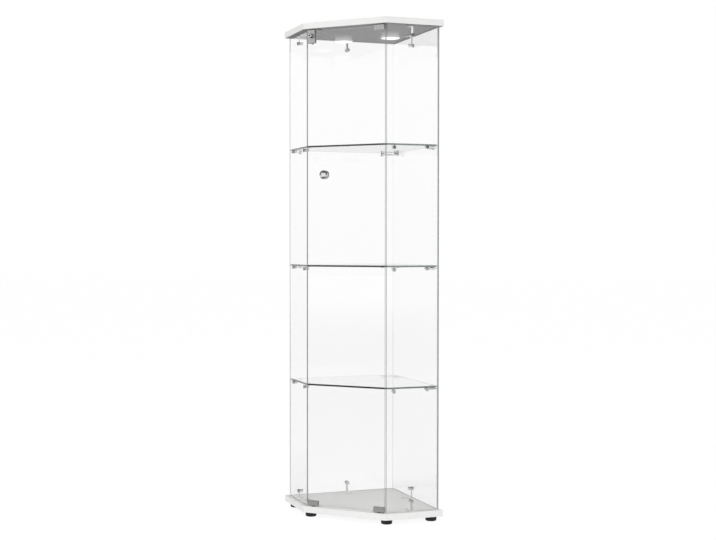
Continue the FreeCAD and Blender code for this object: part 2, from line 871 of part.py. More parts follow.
def bracket(label, up):
    """An angle bracket. Its zero is the eye's centre, and up is the sign of the way to the foot."""
    body = new_body(label, keep=False)
    foot_face = f"{up}bracket_rise"
    foot_inner = f"{up}(bracket_rise - bracket_thickness)"
    side = new_sketch(body, "SideView", "YZ_Plane")
    add_outline(side, [
        ("plate_out", "0"),
        ("plate_out + bracket_thickness", "0"),
        ("plate_out + bracket_thickness", foot_inner),
        ("plate_out + bracket_foot_length", foot_inner),
        ("plate_out + bracket_foot_length", foot_face),
        ("plate_out", foot_face),
    ])
    add_pad(body, side, "bracket_width", centred=True)
    eye = new_sketch(body, "Eye", "XZ_Plane", "-plate_out - bracket_thickness")
    add_circle(eye, "0", "0", "bracket_eye_radius", "eye")
    add_pad(body, eye, "bracket_thickness", "EyePad")
    drill(body, "EyeHole", [("0", "0")], "stud_radius + thread_clearance", plane="XZ_Plane")
    hole = drill(body, "ScrewHole", [("0", "plate_out + bracket_screw_reach")], SCREW_HOLE,
                 lift=foot_face, depth="bracket_thickness", backwards=up == "-")

    def is_rim(edge):
        centre = edge.BoundBox.Center
        level = abs(centre.z - value(foot_inner)) < value("thread_clearance")
        return level and edge.isClosed()

    sink_edges(body, hole, "board_screw_head_radius - board_screw_radius", is_rim)
    return body


lower_bracket = bracket("lower_bracket", "-")
upper_bracket = bracket("upper_bracket", "")
for name, template, height in (
    ("lower_panel_brackets", lower_bracket, "base_top + bracket_rise"),
    ("upper_panel_brackets", upper_bracket, "ceiling - bracket_rise"),
):
    group(name, [on_panel(template, panel, bracket_along(panel), height) for panel in PANELS])

# Countersunk screws of the brackets
board_screw = turned("board_screw", [
    ("drive_recess_radius", "bracket_thickness"),
    ("board_screw_head_radius", "bracket_thickness"),
    ("board_screw_radius", "bracket_thickness - board_screw_head_height"),
    ("board_screw_radius", "stud_end_gap - board_screw_reach"),
    ("0", "stud_end_gap - board_screw_reach"),
    ("0", "bracket_thickness - drive_recess_depth"),
    ("drive_recess_radius", "bracket_thickness - drive_recess_depth"),
], keep=False)


def bracket_screws():
    copies = []
    for a, b in bracket_screw_spots():
        copies.append((board_screw, corner_x(a, b), corner_y(a, b), "base_top", 0, UP))
        copies.append((board_screw, corner_x(a, b), corner_y(a, b), "ceiling", 180, ALONG_X))
    return copies


group("bracket_screws", bracket_screws())


# Screws with rounded heads, for the strike plate and the lamps. Zero is the underside of the head.
pan_screw = turned("pan_screw", [
    ("drive_recess_radius", "board_screw_head_height"),
    ("board_screw_head_radius - drive_recess_depth", "board_screw_head_height"),
    ("board_screw_head_radius", "board_screw_head_height - drive_recess_depth"),
    ("board_screw_head_radius", "0"),
    ("board_screw_radius", "0"),
    ("board_screw_radius", "stud_end_gap - board_screw_reach"),
    ("0", "stud_end_gap - board_screw_reach"),
    ("0", "board_screw_head_height - drive_recess_depth"),
    ("drive_recess_radius", "board_screw_head_height - drive_recess_depth"),
], keep=False)
group("pan_head_screws",
      [(pan_screw, x, y, "ceiling - strike_thickness", 180, ALONG_X) for x, y in strike_screws]
      + [(pan_screw, x, y, "ceiling - lamp_wall", 180, ALONG_X) for x, y in lamp_screws])


# Shelf corner connectors: an angle strip inside the corner, joining the fittings of two panels

def connector(label):
    """Seen in the corner's own axes: zero is where the panels' inner faces would meet."""
    body = new_body(label, keep=False)
    near = "washer_thickness"
    far = "washer_thickness + connector_thickness"
    plan = new_sketch(body, "Plan", "XY_Plane")
    add_outline(plan, [
        (near, near),
        ("connector_reach", near),
        ("connector_reach", far),
        (far, far),
        (far, "connector_reach"),
        (near, "connector_reach"),
    ])
    add_pad(body, plan, "connector_height", centred=True)
    eye = new_sketch(body, "EyeAlong", "XZ_Plane", f"-({far})")
    add_circle(eye, "connector_reach", "0", "connector_eye_radius", "eye")
    add_pad(body, eye, "connector_thickness", "EyeAlongPad")
    other = new_sketch(body, "EyeAcross", "YZ_Plane", near)
    add_circle(other, "connector_reach", "0", "connector_eye_radius", "eye")
    add_pad(body, other, "connector_thickness", "EyeAcrossPad")
    drill(body, "HoleAlong", [("connector_reach", "0")], "stud_radius + thread_clearance",
          plane="XZ_Plane")
    drill(body, "HoleAcross", [("connector_reach", "0")], "stud_radius + thread_clearance",
          plane="YZ_Plane")
    return body


connector_template = connector("connector")
CONNECTOR_CORNERS = [
    ("wall_face", "wall_face", -135),
    ("side_face", "wall_face", -45),
    ("wall_face", "side_face", 135),
]
for level, height in SHELF_LEVELS.items():
    group("shelf_connectors_" + level, [
        (connector_template, corner_x(a, b), corner_y(a, b), f"{height} - connector_drop", turn, UP)
        for a, b, turn in CONNECTOR_CORNERS
    ])


# Single supports near the door: a small angle with its tab under the shelf

def support(label):
    """Zero is the eye's centre in line with the glass's outer face."""
    body = new_body(label, keep=False)
    tab_top = "support_drop - seat_clearance"
    side = new_sketch(body, "SideView", "YZ_Plane")
    add_outline(side, rectangle("plate_out", "0", "plate_out + connector_thickness", tab_top))
    add_pad(body, side, "support_stem_width", centred=True)
    tab = new_sketch(body, "Tab", "YZ_Plane")
    add_outline(tab, rectangle("plate_out", f"{tab_top} - connector_thickness",
                               "plate_out + support_tab_length", tab_top))
    add_pad(body, tab, "support_width", "TabPad", centred=True)
    eye = new_sketch(body, "Eye", "XZ_Plane", "-plate_out - connector_thickness")
    add_circle(eye, "0", "0", "support_eye_radius", "eye")
    add_pad(body, eye, "connector_thickness", "EyePad")
    drill(body, "EyeHole", [("0", "0")], "stud_radius + thread_clearance", plane="XZ_Plane")
    return body


support_template = support("support")
for level, height in SHELF_LEVELS.items():
    group("shelf_supports_" + level, [
        on_panel(support_template, panel, FRONT_HOLE, f"{height} - support_drop")
        for panel in SIDE_PANELS
    ])


# Door

door = new_body("door_glass")
door_sketch = new_sketch(door, "Outline", "XZ_Plane", "-door_front")
NOTCH_RIGHT = "lock_boss_width - door_half"
add_outline(door_sketch, [
    ("-door_half", "door_low"),
    ("door_half", "door_low"),
    ("door_half", "door_high"),
    (NOTCH_RIGHT, "door_high"),
    (NOTCH_RIGHT, "lock_notch_low"),
    ("-door_half", "lock_notch_low"),
])
door_pad = add_pad(door, door_sketch, "glass_thickness", backwards=True)
bevel_all(door, door_pad, "glass_bevel")
drill(door, "KnobHole", [("knob_x", "knob_z")], "glass_hole_radius", plane="XZ_Plane")


# Clamps on the door's corners

def clamp(label, away, hinged):
    """A channel over the glass edge. Zero is the middle of its closed face, away the sign of the glass."""
    body = new_body(label)
    plan = new_sketch(body, "Plan", "XY_Plane")
    add_outline(plan, rectangle("-clamp_width / 2", "-clamp_depth / 2", "clamp_width / 2",
                                "clamp_depth / 2"))
    pad = add_pad(body, plan, "clamp_height", backwards=away == "-")
    round_edges(body, pad, "clamp_round", "Uprights", is_upright)
    slot = rectangle("-clamp_slot / 2", f"{away}clamp_web", "clamp_slot / 2",
                     f"{away}(clamp_height + {OVERRUN_NAME})")
    cut_outline(body, "Slot", slot, "YZ_Plane")
    spots = [(f"{side}grub_spacing / 2", f"{away}(clamp_web + clamp_height) / 2") for side in ("", "-")]
    drill(body, "GrubHoles", spots, "grub_radius + fit_clearance", plane="XZ_Plane",
          lift="-clamp_depth / 2", depth="clamp_wall", backwards=True)
    if hinged:
        drill(body, "PinHole", [("clamp_width / 2 + clamp_edge_gap - pivot_inset", "0")],
              "pin_radius + fit_clearance", depth="clamp_web", backwards=away == "")
    return body


place(clamp("hinge_clamp_lower", "", True), "clamp_x", "pivot_y", "lower_clamp_z")
place(clamp("hinge_clamp_upper", "-", True), "clamp_x", "pivot_y", "upper_clamp_z")
place(clamp("catch_clamp", "", False), "-clamp_x", "pivot_y", "lower_clamp_z")

# Soft pads between clamp and glass
clamp_pad = doc.addObject("Part::Box", "ClampPad")
clamp_pad.setExpression("Length", linked("clamp_width - 2 * clamp_pad_margin"))
clamp_pad.setExpression("Width", linked("clamp_pad_thickness"))
clamp_pad.setExpression("Height", linked("clamp_height - clamp_web - clamp_pad_margin"))
CLAMP_PLACES = [
    ("clamp_x", "lower_clamp_z + clamp_web"),
    ("clamp_x", "upper_clamp_z - clamp_height + clamp_pad_margin"),
    ("-clamp_x", "lower_clamp_z + clamp_web"),
]
PAD_SIDES = ("door_front - clamp_pad_thickness", "door_back")
lock_pad = doc.addObject("Part::Box", "LockPad")
lock_pad.setExpression("Length", linked("lock_width - lock_boss_width - clamp_pad_margin"))
lock_pad.setExpression("Width", linked("clamp_pad_thickness"))
lock_pad.setExpression("Height", linked("door_high - lock_low - clamp_pad_margin"))
group("door_clamp_pads", [
    (clamp_pad, f"{x} - clamp_width / 2 + clamp_pad_margin", y, z, 0, UP)
    for x, z in CLAMP_PLACES
    for y in PAD_SIDES
] + [(lock_pad, NOTCH_RIGHT, y, "lock_low + clamp_pad_margin", 0, UP) for y in PAD_SIDES])

# Grub screws in the clamps' inner walls
grub = turned("grub", [
    ("0", "0"),
    ("grub_radius", "0"),
    ("grub_radius", "clamp_wall"),
    ("grub_socket_radius", "clamp_wall"),
    ("grub_socket_radius", "clamp_wall - grub_socket_depth"),
    ("0", "clamp_wall - grub_socket_depth"),
], plane="XY_Plane", keep=False)
GRUB_HEIGHTS = {
    "lower": "lower_clamp_z + (clamp_web + clamp_height) / 2",
    "upper": "upper_clamp_z - (clamp_web + clamp_height) / 2",
}
group("clamp_grub_screws", [
    (grub, f"{x} + {side}grub_spacing / 2", "door_back + clamp_pad_thickness", GRUB_HEIGHTS[end], 0, UP)
    for x, end in (("clamp_x", "lower"), ("clamp_x", "upper"), ("-clamp_x", "lower"))
    for side in ("", "-")
])

# Pivot pins. Zero is the closed face of the clamp, and the pin reaches down into the base board.
PIN_END = "-(door_board_gap + pin_depth)"
PIN_PROFILE = [
    ("0", PIN_END),
    ("pin_radius", PIN_END),
    ("pin_radius", "-pin_collar_height"),
    ("pin_collar_radius", "-pin_collar_height"),
    ("pin_collar_radius", "0"),
    ("pin_radius", "0"),
    ("pin_radius", "clamp_web"),
    ("0", "clamp_web"),
]
place(turned("pivot_pin_lower", PIN_PROFILE), "pivot_x", "pivot_y", "lower_clamp_z")
place(turned("pivot_pin_upper", PIN_PROFILE), "pivot_x", "pivot_y", "upper_clamp_z", 180, ALONG_X)
BUSH_BORE = "pin_radius + running_clearance"
BUSH_PROFILE = [
    (BUSH_BORE, "-bush_depth"),
    ("bush_radius", "-bush_depth"),
    ("bush_radius", "0"),
    ("bush_flange_radius", "0"),
    ("bush_flange_radius", "bush_flange_height"),
    (BUSH_BORE, "bush_flange_height"),
]
place(turned("pivot_bush_lower", BUSH_PROFILE), "pivot_x", "pivot_y", "base_top")
place(turned("pivot_bush_upper", BUSH_PROFILE), "pivot_x", "pivot_y", "ceiling", 180, ALONG_X)

# Glide under the hinge clamp and magnetic catch under the other one, both standing on the base board
derive("catch_height", "door_board_gap - catch_gap")
doc.recompute()
glide = turned("hinge_glide", [
    ("0", "0"),
    ("catch_radius", "0"),
    ("catch_radius", "catch_height - glide_round"),
    ("catch_radius - glide_round", "catch_height"),
    ("0", "catch_height"),
])
place(glide, "clamp_x", "pivot_y", "base_top")
catch_cup = turned("catch_cup", [
    ("0", "0"),
    ("catch_radius", "0"),
    ("catch_radius", "catch_height - catch_floor"),
    ("catch_radius - catch_floor", "catch_height"),
    ("catch_radius - catch_wall", "catch_height"),
    ("catch_radius - catch_wall", "catch_floor"),
    ("0", "catch_floor"),
])
place(catch_cup, "-clamp_x", "pivot_y", "base_top")
magnet = turned("catch_magnet", [
    ("0", "catch_floor"),
    ("catch_radius - catch_wall - fit_clearance", "catch_floor"),
    ("catch_radius - catch_wall - fit_clearance", "catch_height"),
    ("0", "catch_height"),
])
place(magnet, "-clamp_x", "pivot_y", "base_top")


# Knob. Zero is the outer face of the door glass.

derive("knob_neck_out", "-washer_thickness - knob_neck_length")
derive("knob_out", "knob_neck_out - knob_length")
derive("knob_cap_in", "glass_thickness + washer_thickness")
derive("knob_cap_end", "knob_cap_in + knob_cap_length")
derive("knob_head_end", "knob_cap_end - knob_screw_recess_gap")
derive("knob_head_in", "knob_head_end - knob_screw_head_height")
doc.recompute()
KNOB_BORE = "knob_screw_radius + thread_clearance"
knob_outer = turned("knob_outer", [
    ("0", "knob_out"),
    ("knob_radius - knob_chamfer", "knob_out"),
    ("knob_radius", "knob_out + knob_chamfer"),
    ("knob_radius", "knob_neck_out - knob_chamfer"),
    ("knob_radius - knob_chamfer", "knob_neck_out"),
    ("knob_neck_radius", "knob_neck_out"),
    ("knob_neck_radius", "-washer_thickness"),
    (KNOB_BORE, "-washer_thickness"),
    (KNOB_BORE, "-washer_thickness - knob_screw_reach - stud_end_gap"),
    ("0", "-washer_thickness - knob_screw_reach - stud_end_gap"),
], plane="XY_Plane")
knob_inner = turned("knob_inner", [
    (KNOB_BORE, "knob_cap_in"),
    ("knob_cap_radius", "knob_cap_in"),
    ("knob_cap_radius", "knob_cap_end - knob_cap_chamfer"),
    ("knob_cap_radius - knob_cap_chamfer", "knob_cap_end"),
    ("knob_screw_head_radius + thread_clearance", "knob_cap_end"),
    ("knob_screw_head_radius + thread_clearance", "knob_head_in"),
    (KNOB_BORE, "knob_head_in"),
], plane="XY_Plane")
knob_screw = turned("knob_screw", [
    ("0", "-washer_thickness - knob_screw_reach"),
    ("knob_screw_radius", "-washer_thickness - knob_screw_reach"),
    ("knob_screw_radius", "knob_head_in"),
    ("knob_screw_head_radius", "knob_head_in"),
    ("knob_screw_head_radius", "knob_head_end"),
    ("drive_recess_radius", "knob_head_end"),
    ("drive_recess_radius", "knob_head_end - drive_recess_depth"),
    ("0", "knob_head_end - drive_recess_depth"),
], plane="XY_Plane")
for piece in (knob_outer, knob_inner, knob_screw):
    place(piece, "knob_x", "door_front", "knob_z")
knob_washer = turned("knob_washer", [
    (KNOB_BORE, "0"),
    ("knob_washer_radius", "0"),
    ("knob_washer_radius", "washer_thickness"),
    (KNOB_BORE, "washer_thickness"),
], plane="XY_Plane", keep=False)
group("knob_washers", [
    (knob_washer, "knob_x", y, "knob_z", 0, UP)
    for y in ("door_front - washer_thickness", "door_back")
])


# Lock on the door's upper left corner

lock = new_body("lock_housing")
lock_right = "lock_width - door_half"
front_view = new_sketch(lock, "FrontView", "XZ_Plane", "-lock_front")
add_outline(front_view, rectangle("-door_half", "lock_low", lock_right, "lock_top"))
housing = add_pad(lock, front_view, "lock_back - lock_front", backwards=True)
round_edges(lock, housing, "clamp_round", "Uprights", is_upright)
slot_low = f"lock_low - {OVERRUN_NAME}"
cut_outline(lock, "GlassSlot", [
    (f"-door_half - {OVERRUN_NAME}", slot_low),
    (f"lock_width - door_half + {OVERRUN_NAME}", slot_low),
    (f"lock_width - door_half + {OVERRUN_NAME}", "door_high + fit_clearance"),
    (f"{NOTCH_RIGHT} - fit_clearance", "door_high + fit_clearance"),
    (f"{NOTCH_RIGHT} - fit_clearance", "lock_notch_low + fit_clearance + glass_bevel"),
    (f"{NOTCH_RIGHT} - fit_clearance - glass_bevel", "lock_notch_low + fit_clearance"),
    (f"-door_half - {OVERRUN_NAME}", "lock_notch_low + fit_clearance"),
], "XZ_Plane", lift="clamp_pad_thickness - door_front", depth="clamp_slot")
drill(lock, "BarrelHole", [("lock_axis_x", "lock_axis_z")], "lock_barrel_radius + fit_clearance",
      plane="XZ_Plane")

# Round lock parts on the lock's axis. Zero is the front face of the housing.
derive("housing_depth", "lock_back - lock_front")
derive("cam_in", "cam_front - lock_front")
derive("cam_out", "cam_back - lock_front")
doc.recompute()
PLUG_BORE = "lock_plug_radius + running_clearance"
barrel = turned("lock_barrel", [
    (PLUG_BORE, "-lock_ring_length"),
    ("lock_ring_radius - lock_ring_chamfer", "-lock_ring_length"),
    ("lock_ring_radius", "-lock_ring_length + lock_ring_chamfer"),
    ("lock_ring_radius", "0"),
    ("lock_barrel_radius", "0"),
    ("lock_barrel_radius", "housing_depth"),
    (PLUG_BORE, "housing_depth"),
], plane="XY_Plane")
place(barrel, "lock_axis_x", "lock_front", "lock_axis_z")
plug = turned("lock_plug", [
    ("0", "-lock_ring_length + lock_plug_stand"),
    ("lock_plug_radius", "-lock_ring_length + lock_plug_stand"),
    ("lock_plug_radius", "cam_in"),
    ("0", "cam_in"),
], plane="XY_Plane")
key_slot = rectangle("-lock_key_slot_width / 2", "-lock_key_slot_length / 2",
                     "lock_key_slot_width / 2", "lock_key_slot_length / 2")
cut_outline(plug, "KeySlot", key_slot, "XZ_Plane", lift="lock_ring_length",
            depth="lock_key_slot_depth")
drill(plug, "CamScrewHole", [("0", "0")], "cam_screw_radius + thread_clearance", plane="XZ_Plane",
      lift="-cam_in", depth="cam_screw_reach + stud_end_gap", backwards=True)
place(plug, "lock_axis_x", "lock_front", "lock_axis_z")

cam = new_body("lock_cam")
cam_sketch = new_sketch(cam, "Outline", "XZ_Plane", "-cam_in")
add_outline(cam_sketch, rectangle("-cam_width / 2", "-cam_width / 2", "cam_reach", "cam_width / 2"))
cam_pad = add_pad(cam, cam_sketch, "cam_thickness", backwards=True)


def across_cam(edge):
    """True for the cam's short edges through its thickness at the tip."""
    middle = edge.CenterOfMass
    run = edge.Vertexes[-1].Point - edge.Vertexes[0].Point
    return abs(run.y) / run.Length > UPRIGHT_SHARE and middle.x > 0


round_edges(cam, cam_pad, "clamp_round", "Tip", across_cam)
drill(cam, "ScrewHole", [("0", "0")], "cam_screw_radius + thread_clearance", plane="XZ_Plane")
place(cam, "lock_axis_x", "lock_front", "lock_axis_z", CAM_TURN, ALONG_Y)
cam_screw = turned("lock_cam_screw", [
    ("0", "cam_in - cam_screw_reach"),
    ("cam_screw_radius", "cam_in - cam_screw_reach"),
    ("cam_screw_radius", "cam_out"),
    ("cam_screw_head_radius", "cam_out"),
    ("cam_screw_head_radius", "cam_out + cam_screw_head_height"),
    ("drive_recess_radius", "cam_out + cam_screw_head_height"),
    ("drive_recess_radius", "cam_out + cam_screw_head_height - drive_recess_depth"),
    ("0", "cam_out + cam_screw_head_height - drive_recess_depth"),
], plane="XY_Plane")
place(cam_screw, "lock_axis_x", "lock_front", "lock_axis_z")

# Strike plate under the top board, round the mortise that takes the cam
strike = new_body("lock_strike")
strike_sketch = new_sketch(strike, "Plan", "XY_Plane")
add_outline(strike_sketch, rectangle("strike_left", "strike_front", "strike_left + strike_length",
                                     "strike_front + strike_width"))
add_outline(strike_sketch, mortise, "slot")
strike_pad = add_pad(strike, strike_sketch, "strike_thickness")
drill(strike, "ScrewHoles", strike_screws, SCREW_HOLE)
place(strike, "0", "0", "ceiling - strike_thickness")


# Lamps under the top board. Zero is the board's underside.

derive("lamp_shoulder", "-lamp_body_height")
derive("lamp_rim_low", "lamp_shoulder - lamp_rim_height")
doc.recompute()
WIRE_BORE = "lamp_wire_hole_radius"
lamp_body = turned("lamp_body", [
    (WIRE_BORE, "-lamp_wall - light_board_stand"),
    ("lamp_boss_radius", "-lamp_wall - light_board_stand"),
    ("lamp_boss_radius", "-lamp_wall"),
    ("lamp_body_radius - lamp_wall", "-lamp_wall"),
    ("lamp_body_radius - lamp_wall", "lamp_shoulder"),
    ("lamp_lens_radius + fit_clearance", "lamp_shoulder"),
    ("lamp_lens_radius + fit_clearance", "lamp_rim_low"),
    ("lamp_rim_radius - lamp_wall / 2", "lamp_rim_low"),
    ("lamp_rim_radius", "lamp_rim_low + lamp_wall / 2"),
    ("lamp_rim_radius", "lamp_shoulder + lamp_wall"),
    ("lamp_body_radius", "lamp_shoulder + lamp_wall"),
    ("lamp_body_radius", "0"),
    (WIRE_BORE, "0"),
], keep=False)
drill(lamp_body, "ScrewHoles", [("lamp_screw_distance", "0"), ("-lamp_screw_distance", "0")], SCREW_HOLE)


# The lens is a shallow dome: a flat disc whose lower face is a ball's cap
def make_lens():
    body = new_body("lamp_lens", keep=False)
    sketch = new_sketch(body, "Profile", "XZ_Plane")
    derive("lens_top", "lamp_shoulder")
    derive("lens_edge_low", "lamp_rim_low")
    derive("lens_low", "lamp_rim_low - lamp_lens_drop")
    derive("lens_ball_radius", "(lamp_lens_radius ^ 2 + lamp_lens_drop ^ 2) / (2 * lamp_lens_drop)")
    doc.recompute()
    top = Vector(0, value("lens_top"), 0)
    rim_top = Vector(value("lamp_lens_radius"), value("lens_top"), 0)
    rim_low = Vector(value("lamp_lens_radius"), value("lens_edge_low"), 0)
    low = Vector(0, value("lens_low"), 0)
    centre = Vector(0, value("lens_low + lens_ball_radius"), 0)
    ball = Part.Circle(centre, Vector(0, 0, 1), value("lens_ball_radius"))
    sketch.addGeometry(Part.LineSegment(top, rim_top))
    sketch.addGeometry(Part.LineSegment(rim_top, rim_low))
    sketch.addGeometry(Part.ArcOfCircle(ball, ball.parameter(low), ball.parameter(rim_low)))
    sketch.addGeometry(Part.LineSegment(low, top))
    sketch.addConstraint(Sketcher.Constraint("Coincident", 0, 2, 1, 1))
    sketch.addConstraint(Sketcher.Constraint("Coincident", 1, 2, 2, 2))
    sketch.addConstraint(Sketcher.Constraint("Coincident", 2, 1, 3, 1))
    sketch.addConstraint(Sketcher.Constraint("Coincident", 3, 2, 0, 1))
    sketch.addConstraint(Sketcher.Constraint("Vertical", 1))
    sketch.addConstraint(Sketcher.Constraint("PointOnObject", 0, 1, -2))
    sketch.addConstraint(Sketcher.Constraint("PointOnObject", 3, 1, -2))
    sketch.addConstraint(Sketcher.Constraint("PointOnObject", 2, 3, -2))
    sketch.addConstraint(Sketcher.Constraint("Horizontal", 0))
    fix(sketch, "DistanceX", "rim_across", "lamp_lens_radius", -1, 1, 1, 1)
    fix(sketch, "DistanceY", "rim_top", "lens_top", -1, 1, 1, 1)
    fix(sketch, "DistanceY", "rim_low", "lens_edge_low", -1, 1, 1, 2)
    fix(sketch, "DistanceY", "crown", "lens_low", -1, 1, 3, 1)
    turn = body.newObject("PartDesign::Revolution", "Turning")
    turn.Profile = sketch
    turn.ReferenceAxis = (sketch, ["V_Axis"])
    turn.Angle = 360
    doc.recompute()
    return body


lamp_lens = make_lens()
light_board = turned("light_board", [
    (WIRE_BORE, "-lamp_wall - light_board_stand - light_board_thickness"),
    ("light_board_radius", "-lamp_wall - light_board_stand - light_board_thickness"),
    ("light_board_radius", "-lamp_wall - light_board_stand"),
    (WIRE_BORE, "-lamp_wall - light_board_stand"),
], keep=False)
wire_sleeve = turned("wire_sleeve", [
    (WIRE_BORE, "0"),
    ("lamp_wire_hole_radius + wire_sleeve_wall", "0"),
    ("lamp_wire_hole_radius + wire_sleeve_wall", "board_thickness"),
    (WIRE_BORE, "board_thickness"),
], keep=False)
for name, template in (
    ("lamp_bodies", lamp_body),
    ("lamp_lenses", lamp_lens),
    ("lamp_light_boards", light_board),
    ("wire_sleeves", wire_sleeve),
):
    group(name, [(template, x, "lamp_y", "ceiling", 0, UP) for x in LAMP_SIDES])


# Checks and files

doc.recompute()
for item in doc.Objects:
    if "Invalid" in item.State or "Error" in item.State:
        raise ValueError(f"{item.Label} failed: {item.State}")
for name, item in nodes.items():
    if item.Shape.isNull() or not item.Shape.isValid():
        raise ValueError(f"{name} has no valid shape")

os.makedirs("parts", exist_ok=True)
for name, item in nodes.items():
    item.Shape.exportStep(f"parts/{name}.step")
print(len(nodes), "sub-parts,", sum(len(item.Shape.Solids) for item in nodes.values()), "solids")
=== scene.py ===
import json
import math

import bmesh
import bpy
import numpy as np
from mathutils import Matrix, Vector


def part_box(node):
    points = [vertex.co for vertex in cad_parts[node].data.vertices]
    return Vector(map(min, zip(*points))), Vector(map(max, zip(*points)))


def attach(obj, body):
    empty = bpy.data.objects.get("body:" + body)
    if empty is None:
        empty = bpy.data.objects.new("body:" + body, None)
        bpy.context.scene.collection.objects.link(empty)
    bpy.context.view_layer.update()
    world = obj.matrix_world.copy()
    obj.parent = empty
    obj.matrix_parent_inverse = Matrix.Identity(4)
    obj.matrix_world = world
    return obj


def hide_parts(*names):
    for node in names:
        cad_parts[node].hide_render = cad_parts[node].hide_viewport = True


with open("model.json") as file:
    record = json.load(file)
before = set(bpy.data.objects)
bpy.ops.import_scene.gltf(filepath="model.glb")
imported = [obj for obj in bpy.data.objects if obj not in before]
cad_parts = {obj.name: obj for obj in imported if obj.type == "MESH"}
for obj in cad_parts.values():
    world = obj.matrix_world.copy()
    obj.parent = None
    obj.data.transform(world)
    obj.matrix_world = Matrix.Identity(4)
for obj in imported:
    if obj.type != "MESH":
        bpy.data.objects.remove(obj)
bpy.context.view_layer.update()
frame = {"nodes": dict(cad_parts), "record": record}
nodes = frame["nodes"]
mm = 0.001
bodyOf = {node: body for body, names in frame["record"]["behaviour"]["bodies"].items() for node in names}
slotOf = {part["node"]: part["material_slot"] for part in frame["record"]["subparts"]}

# camera: the photograph's view, worked out from the edges of the boards and the glass
camera = {
    "place": (1.8555, -4.2870, 0.9822),     # m
    "turn": 25.774,       # degrees from straight ahead, towards -X: the camera stands on the right
    "tilt": -1.239,       # degrees from level, downwards
    "lens": 63.96,        # mm
    "sensor": 36,         # mm
    "shift": 0.0559,      # share of the picture's width that its frame lies right of the lens's own line
}


def makeCamera(settings):
    data = bpy.data.cameras.new("camera")
    data.sensor_width = settings["sensor"]
    data.lens = settings["lens"]
    data.shift_x = settings["shift"]
    view = bpy.data.objects.new("camera", data)
    view.location = settings["place"]
    view.rotation_euler = (math.radians(90 + settings["tilt"]), 0, math.radians(settings["turn"]))
    bpy.context.collection.objects.link(view)
    bpy.context.scene.camera = view


makeCamera(camera)
print("camera placed")

# materials: colours are sRGB hex values, and every node comes from addNode


def linear(code):
    # sRGB hex to linear rgba
    parts = [int(code[i:i + 2], 16) / 255 for i in (0, 2, 4)]
    return [c / 12.92 if c <= 0.04045 else ((c + 0.055) / 1.055) ** 2.4 for c in parts] + [1]


def darker(tone, share):
    return [c * share for c in tone[:3]] + [1]


def fill(owner, node, inputs):
    # each input takes a value or another node's output
    for name, value in inputs.items():
        if isinstance(value, bpy.types.NodeSocket):
            owner.node_tree.links.new(value, node.inputs[name])
        else:
            node.inputs[name].default_value = value


def addNode(owner, kind, inputs=None, stops=(), **settings):
    # a node with its settings, links and, for a colour ramp, its stops; gives back the node's outputs.
    # A Mix node takes its two colours at 6 and 7 and gives the mixed one at 2.
    node = owner.node_tree.nodes.new("ShaderNode" + kind)
    for name, value in settings.items():
        setattr(node, name, value)
    fill(owner, node, inputs or {})
    if stops:
        elements = node.color_ramp.elements
        elements[0].position, elements[0].color = stops[0]
        elements[1].position, elements[1].color = stops[-1]
        for position, colour in stops[1:-1]:
            elements.new(position).color = colour
    return node.outputs


def newMaterial(name, inputs):
    material = bpy.data.materials.new(name)
    material.use_nodes = True
    shader = material.node_tree.nodes["Principled BSDF"]
    fill(material, shader, inputs)
    return material, shader


# Melamine faced board, pressed: resin soaked paper under a plate with a fine pearl texture. The eye gets an
# even white with a soft sheen and no mirror image. Real pearls of 0.3 mm are too fine to show.
board = {
    "colour": "ececeb",
    "cloud": "e8e8e7",
    "cloudSize": 90,              # mm, faint unevenness of the paper
    "cloudRange": (0.35, 0.65),   # where the pattern turns from one colour to the other
    "pearl": 1.2,                 # mm from pearl to pearl, as coarse as it has to be
    "roughness": (0.5, 0.64),     # between the pearls and on them
    "specular": 0.25,
    "bump": 0.12,
    "depth": 0.1,                 # mm
}


def makeMelamine(name, settings):
    material, shader = newMaterial(name, {"IOR": 1.5, "Specular IOR Level": settings["specular"]})
    place = addNode(material, "TexCoord")["Object"]
    pearl = addNode(material, "TexNoise",
                    {"Vector": place, "Scale": 1 / (settings["pearl"] * mm), "Detail": 2.0})["Fac"]
    cloud = addNode(material, "TexNoise",
                    {"Vector": place, "Scale": 1 / (settings["cloudSize"] * mm), "Detail": 3.0})["Fac"]
    low, high = settings["cloudRange"]
    colour = addNode(material, "ValToRGB", {"Fac": cloud},
                     [(low, linear(settings["cloud"])), (high, linear(settings["colour"]))])["Color"]
    smooth, rough = settings["roughness"]
    gloss = addNode(material, "MapRange", {"Value": pearl, "To Min": smooth, "To Max": rough})["Result"]
    bump = addNode(material, "Bump", {"Height": pearl, "Strength": settings["bump"],
                                      "Distance": settings["depth"] * mm})["Normal"]
    fill(material, shader, {"Base Color": colour, "Roughness": gloss, "Normal": bump})
    return material


melamine = makeMelamine("melamine faced board, pressed", board)

# Float glass, edges ground: the eye gets clear flat faces that mirror at a low angle, and frosted edges,
# grey green and darker in their depth. Real grinding marks of 0.1 mm are too fine to show.
glass = {
    "face": "fefefe",
    "shadow": "f2f2f2",         # what lamp light keeps at each face that it passes
    "edge": "c4d2cd",
    "edgeDeep": "a0b2ab",
    "edgePaintedLight": "c4d2cd",      # painted light on the edges that face right; here the same as the edge's own colour
    "paintedLightFrom": 0.3,           # X of an edge's normal, from where on it gets the painted light
    "edgeClear": 0.5,           # how much light the ground edge lets through
    "edgeRoughness": 0.35,
    "ior": 1.5,
    "specular": 0.5,
    "grind": 0.8,               # mm between the marks of the grinding wheel, as coarse as it has to be
    "markRange": (0.3, 0.7),    # where they turn from the deep colour to the other
    "faceFrom": 0.9,            # cosine to the sheet's normal, from where on it is a face and not an edge
}
# a shelf's edges are painted near black as shade, and the one that faces right gets a painted light
shelfGlass = {**glass, "edge": "0c1210", "edgeDeep": "020303", "edgePaintedLight": "84928d", "edgeClear": 0,
              "edgeRoughness": 0.7, "specular": 0.1}


